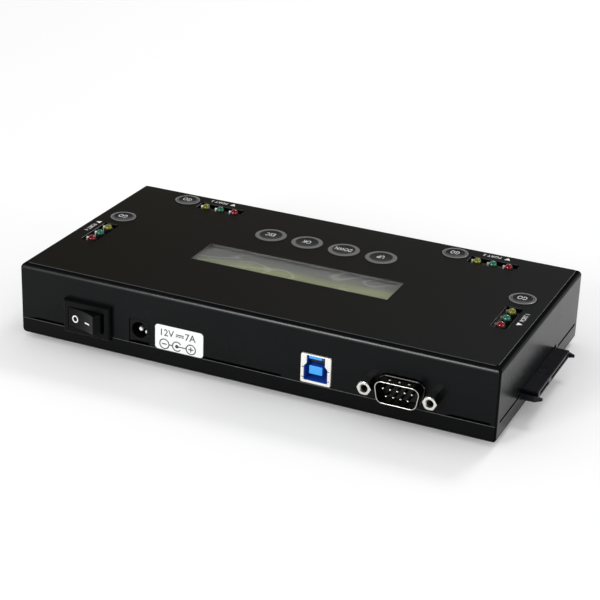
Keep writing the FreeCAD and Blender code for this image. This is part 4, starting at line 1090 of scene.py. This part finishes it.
# shell, pins and screws keep their bright nickel only at the front: painted shade and painted
# dark reflection behind it
shell_nickel = finish("shell_nickel", (0.86, 0.84, 0.78), 0.16, metallic=1.0, depth=0.001,
                      mottle=0.06, painted_shade_depths=(-54.99, -54.94, 0.06))
pin_nickel = finish("pin_nickel", (0.95, 0.92, 0.84), 0.22, metallic=1.0, depth=0.001,
                    mottle=0.05, painted_shade_depths=(-54.1, -53.7, 0.12))
hex_nickel = finish("hex_nickel", (0.90, 0.88, 0.82), 0.22, metallic=1.0, mottle=0.08,
                    painted_shade_depths=(-54.95, -54.5, 0.16))
serial_x, _, serial_z = middle_of("serial_shell")
mouth = reach_of("serial_shell")[0]         # how far the shell stands out of the panel
half_wide, half_high, slant, shell_corner = 9.05, 4.4, math.radians(10.0), 2.7
shell_wall = 0.5
collar_grow, collar_proud, collar_edge = 0.45, 0.6, 0.35
plate_wide, plate_tall, plate_corner = 30.8, 12.4, 1.5       # the shell's flange
flange_front, flange_back = -1.0, -1.8
half_low = half_wide - 2 * half_high * math.tan(slant)
d_shape = evenly(outline_of([(-half_low, -half_high), (half_low, -half_high),
                             (half_wide, half_high), (-half_wide, half_high)],
                            shell_corner, 12))
lip = shell_wall / 2
collar = np.vstack([
    [(-collar_grow, flange_back), (-collar_grow, collar_proud - collar_edge)],
    arc((collar_edge - collar_grow, collar_proud - collar_edge), collar_edge, 180, 90, 4)])
skirt = np.linspace((0, collar_proud), (0, mouth - lip), 26)
hollow = np.linspace((shell_wall, mouth - lip), (shell_wall, flange_back), 8)
shell_grid = swept(d_shape, np.vstack([
    collar, skirt, arc((lip, mouth - lip), lip, 150, 30, 4), hollow]))
dimple_radius, dimple_depth, dimple_row = 0.75, 0.32, 2.9
dimple_at = np.array([-3.7, 0.0, 3.7])
# the dimples go into the flat upper and lower faces of the skirt
sheet = shell_grid[len(collar):len(collar) + len(skirt)]
away = np.sqrt((sheet[..., :1] - dimple_at) ** 2 + (sheet[..., 2:] - dimple_row) ** 2).min(-1)
dent = dimple_depth * np.clip(1 - (away / dimple_radius) ** 2, 0, 1)
dent *= np.abs(sheet[..., 1]) > half_high - 0.3
sheet[..., 1] -= np.sign(sheet[..., 1]) * dent
plate_edge = evenly(rounded_box(plate_wide, plate_tall, plate_corner))
plate_hole = inset(d_shape, shell_wall)
flange = np.concatenate([swept(plate_edge, [(0, flange_back), (0, flange_front)]),
                         swept(plate_hole, [(0, flange_front), (0, flange_back)])])
shell = new_piece("serial_shell_pressing", [(at_serial(shell_grid), "loop"),
                                            (at_serial(flange), "loop")],
                  shell_nickel, "case", sharp=50.0)
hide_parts("serial_shell")
# bright studs in the upper dimples: painted glints
stud = turned(arc((0, 0), (0.5, 0.2), 90, 0, 6), 24)[..., [0, 2, 1]]
dimple_glints = [at_serial(stud + (x, half_high - 0.7 * dimple_depth, dimple_row)) for x in dimple_at]
new_piece("shell_dimple_glints", dimple_glints, nickel_glint, "case")
dress(finish("serial_black", (0.005, 0.005, 0.005), 0.45, specular=0.3, edge=0.1),
      "serial_insulator")

pin_radius, pin_nose, pin_pitch, row_pitch = 0.5, 0.6, 2.77, 2.84
pin_front, pin_back = reach_of("serial_pins")
pin_profile = np.vstack([[(0, pin_back), (pin_radius, pin_back)],
                         arc((0, pin_front - pin_nose), (pin_radius, pin_nose), 0, 90, 8)])
pins = [at_serial(turned(pin_profile, 24), (i - (count - 1) / 2) * pin_pitch,
                  side * row_pitch / 2)
        for count, side in ((5, 1), (4, -1)) for i in range(count)]
pin_piece = new_piece("round_pins", pins, pin_nickel, "case")
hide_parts("serial_pins")

# The jack screws are hexagons whose front corners are turned off, with a threaded bore.
screws_apart = 25.0
across_flats = 4.9
hex_front, stud_end = reach_of("serial_jackscrews")
bore_radius, bore_depth, bore_mouth = 1.2, 4.8, 1.62
thread_depth, thread_pitch = 0.17, 0.635
front_radius = 2.35         # where the front starts to slope back
hex_slope = math.tan(math.radians(28))
stud_radius = 1.4
turn = np.arange(96) * 2 * math.pi / 96
hex_radius = across_flats / 2 / np.cos(turn % (math.pi / 3) - math.pi / 6)


def level_ring(radius, height):
    """A ring round the screw's axis; radius and height may vary round it."""
    radius = np.broadcast_to(radius, turn.shape)
    return np.stack([radius * np.cos(turn), radius * np.sin(turn),
                     np.broadcast_to(height, turn.shape)], -1)


threads = []
for depth in np.linspace(bore_depth, 0.35, 46):
    # the thread's flank goes in and out evenly as it winds down the bore
    wind = (depth / thread_pitch + turn / (2 * math.pi)) % 1.0
    threads.append(level_ring(bore_radius + thread_depth * (1 - np.abs(2 * wind - 1)),
                              hex_front - depth))
hex_grid = np.stack([
    level_ring(0.0, hex_front - bore_depth), *threads,
    level_ring(bore_radius + thread_depth, hex_front - 0.3),
    level_ring(bore_mouth, hex_front), level_ring(front_radius, hex_front),
    level_ring(hex_radius, hex_front - (hex_radius - front_radius).clip(0) * hex_slope),
    level_ring(hex_radius, 0.0), level_ring(stud_radius, 0.0),
    level_ring(stud_radius, stud_end), level_ring(0.0, stud_end)])
jack_screws = new_piece("hex_jack_screws", [at_serial(hex_grid, side * screws_apart / 2)
                                            for side in (-1, 1)],
                        hex_nickel, "case", sharp=22.0)
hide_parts("serial_jackscrews")

# ---- Inside -------------------------------------------------------------------------------
# Green circuit boards on steel standoffs, the posts that join cover and pan, and the header
# between the boards. They are closed in, and show only through the openings.
dress(zinc, "cover_posts", "main_standoffs", "control_standoffs", "board_screws")
dress(finish("solder_mask", (0.01, 0.09, 0.035), 0.4, grain=1.2, depth=0.004),
      "main_board", "control_board", "display_board")
dress(plunger_black, "board_link")
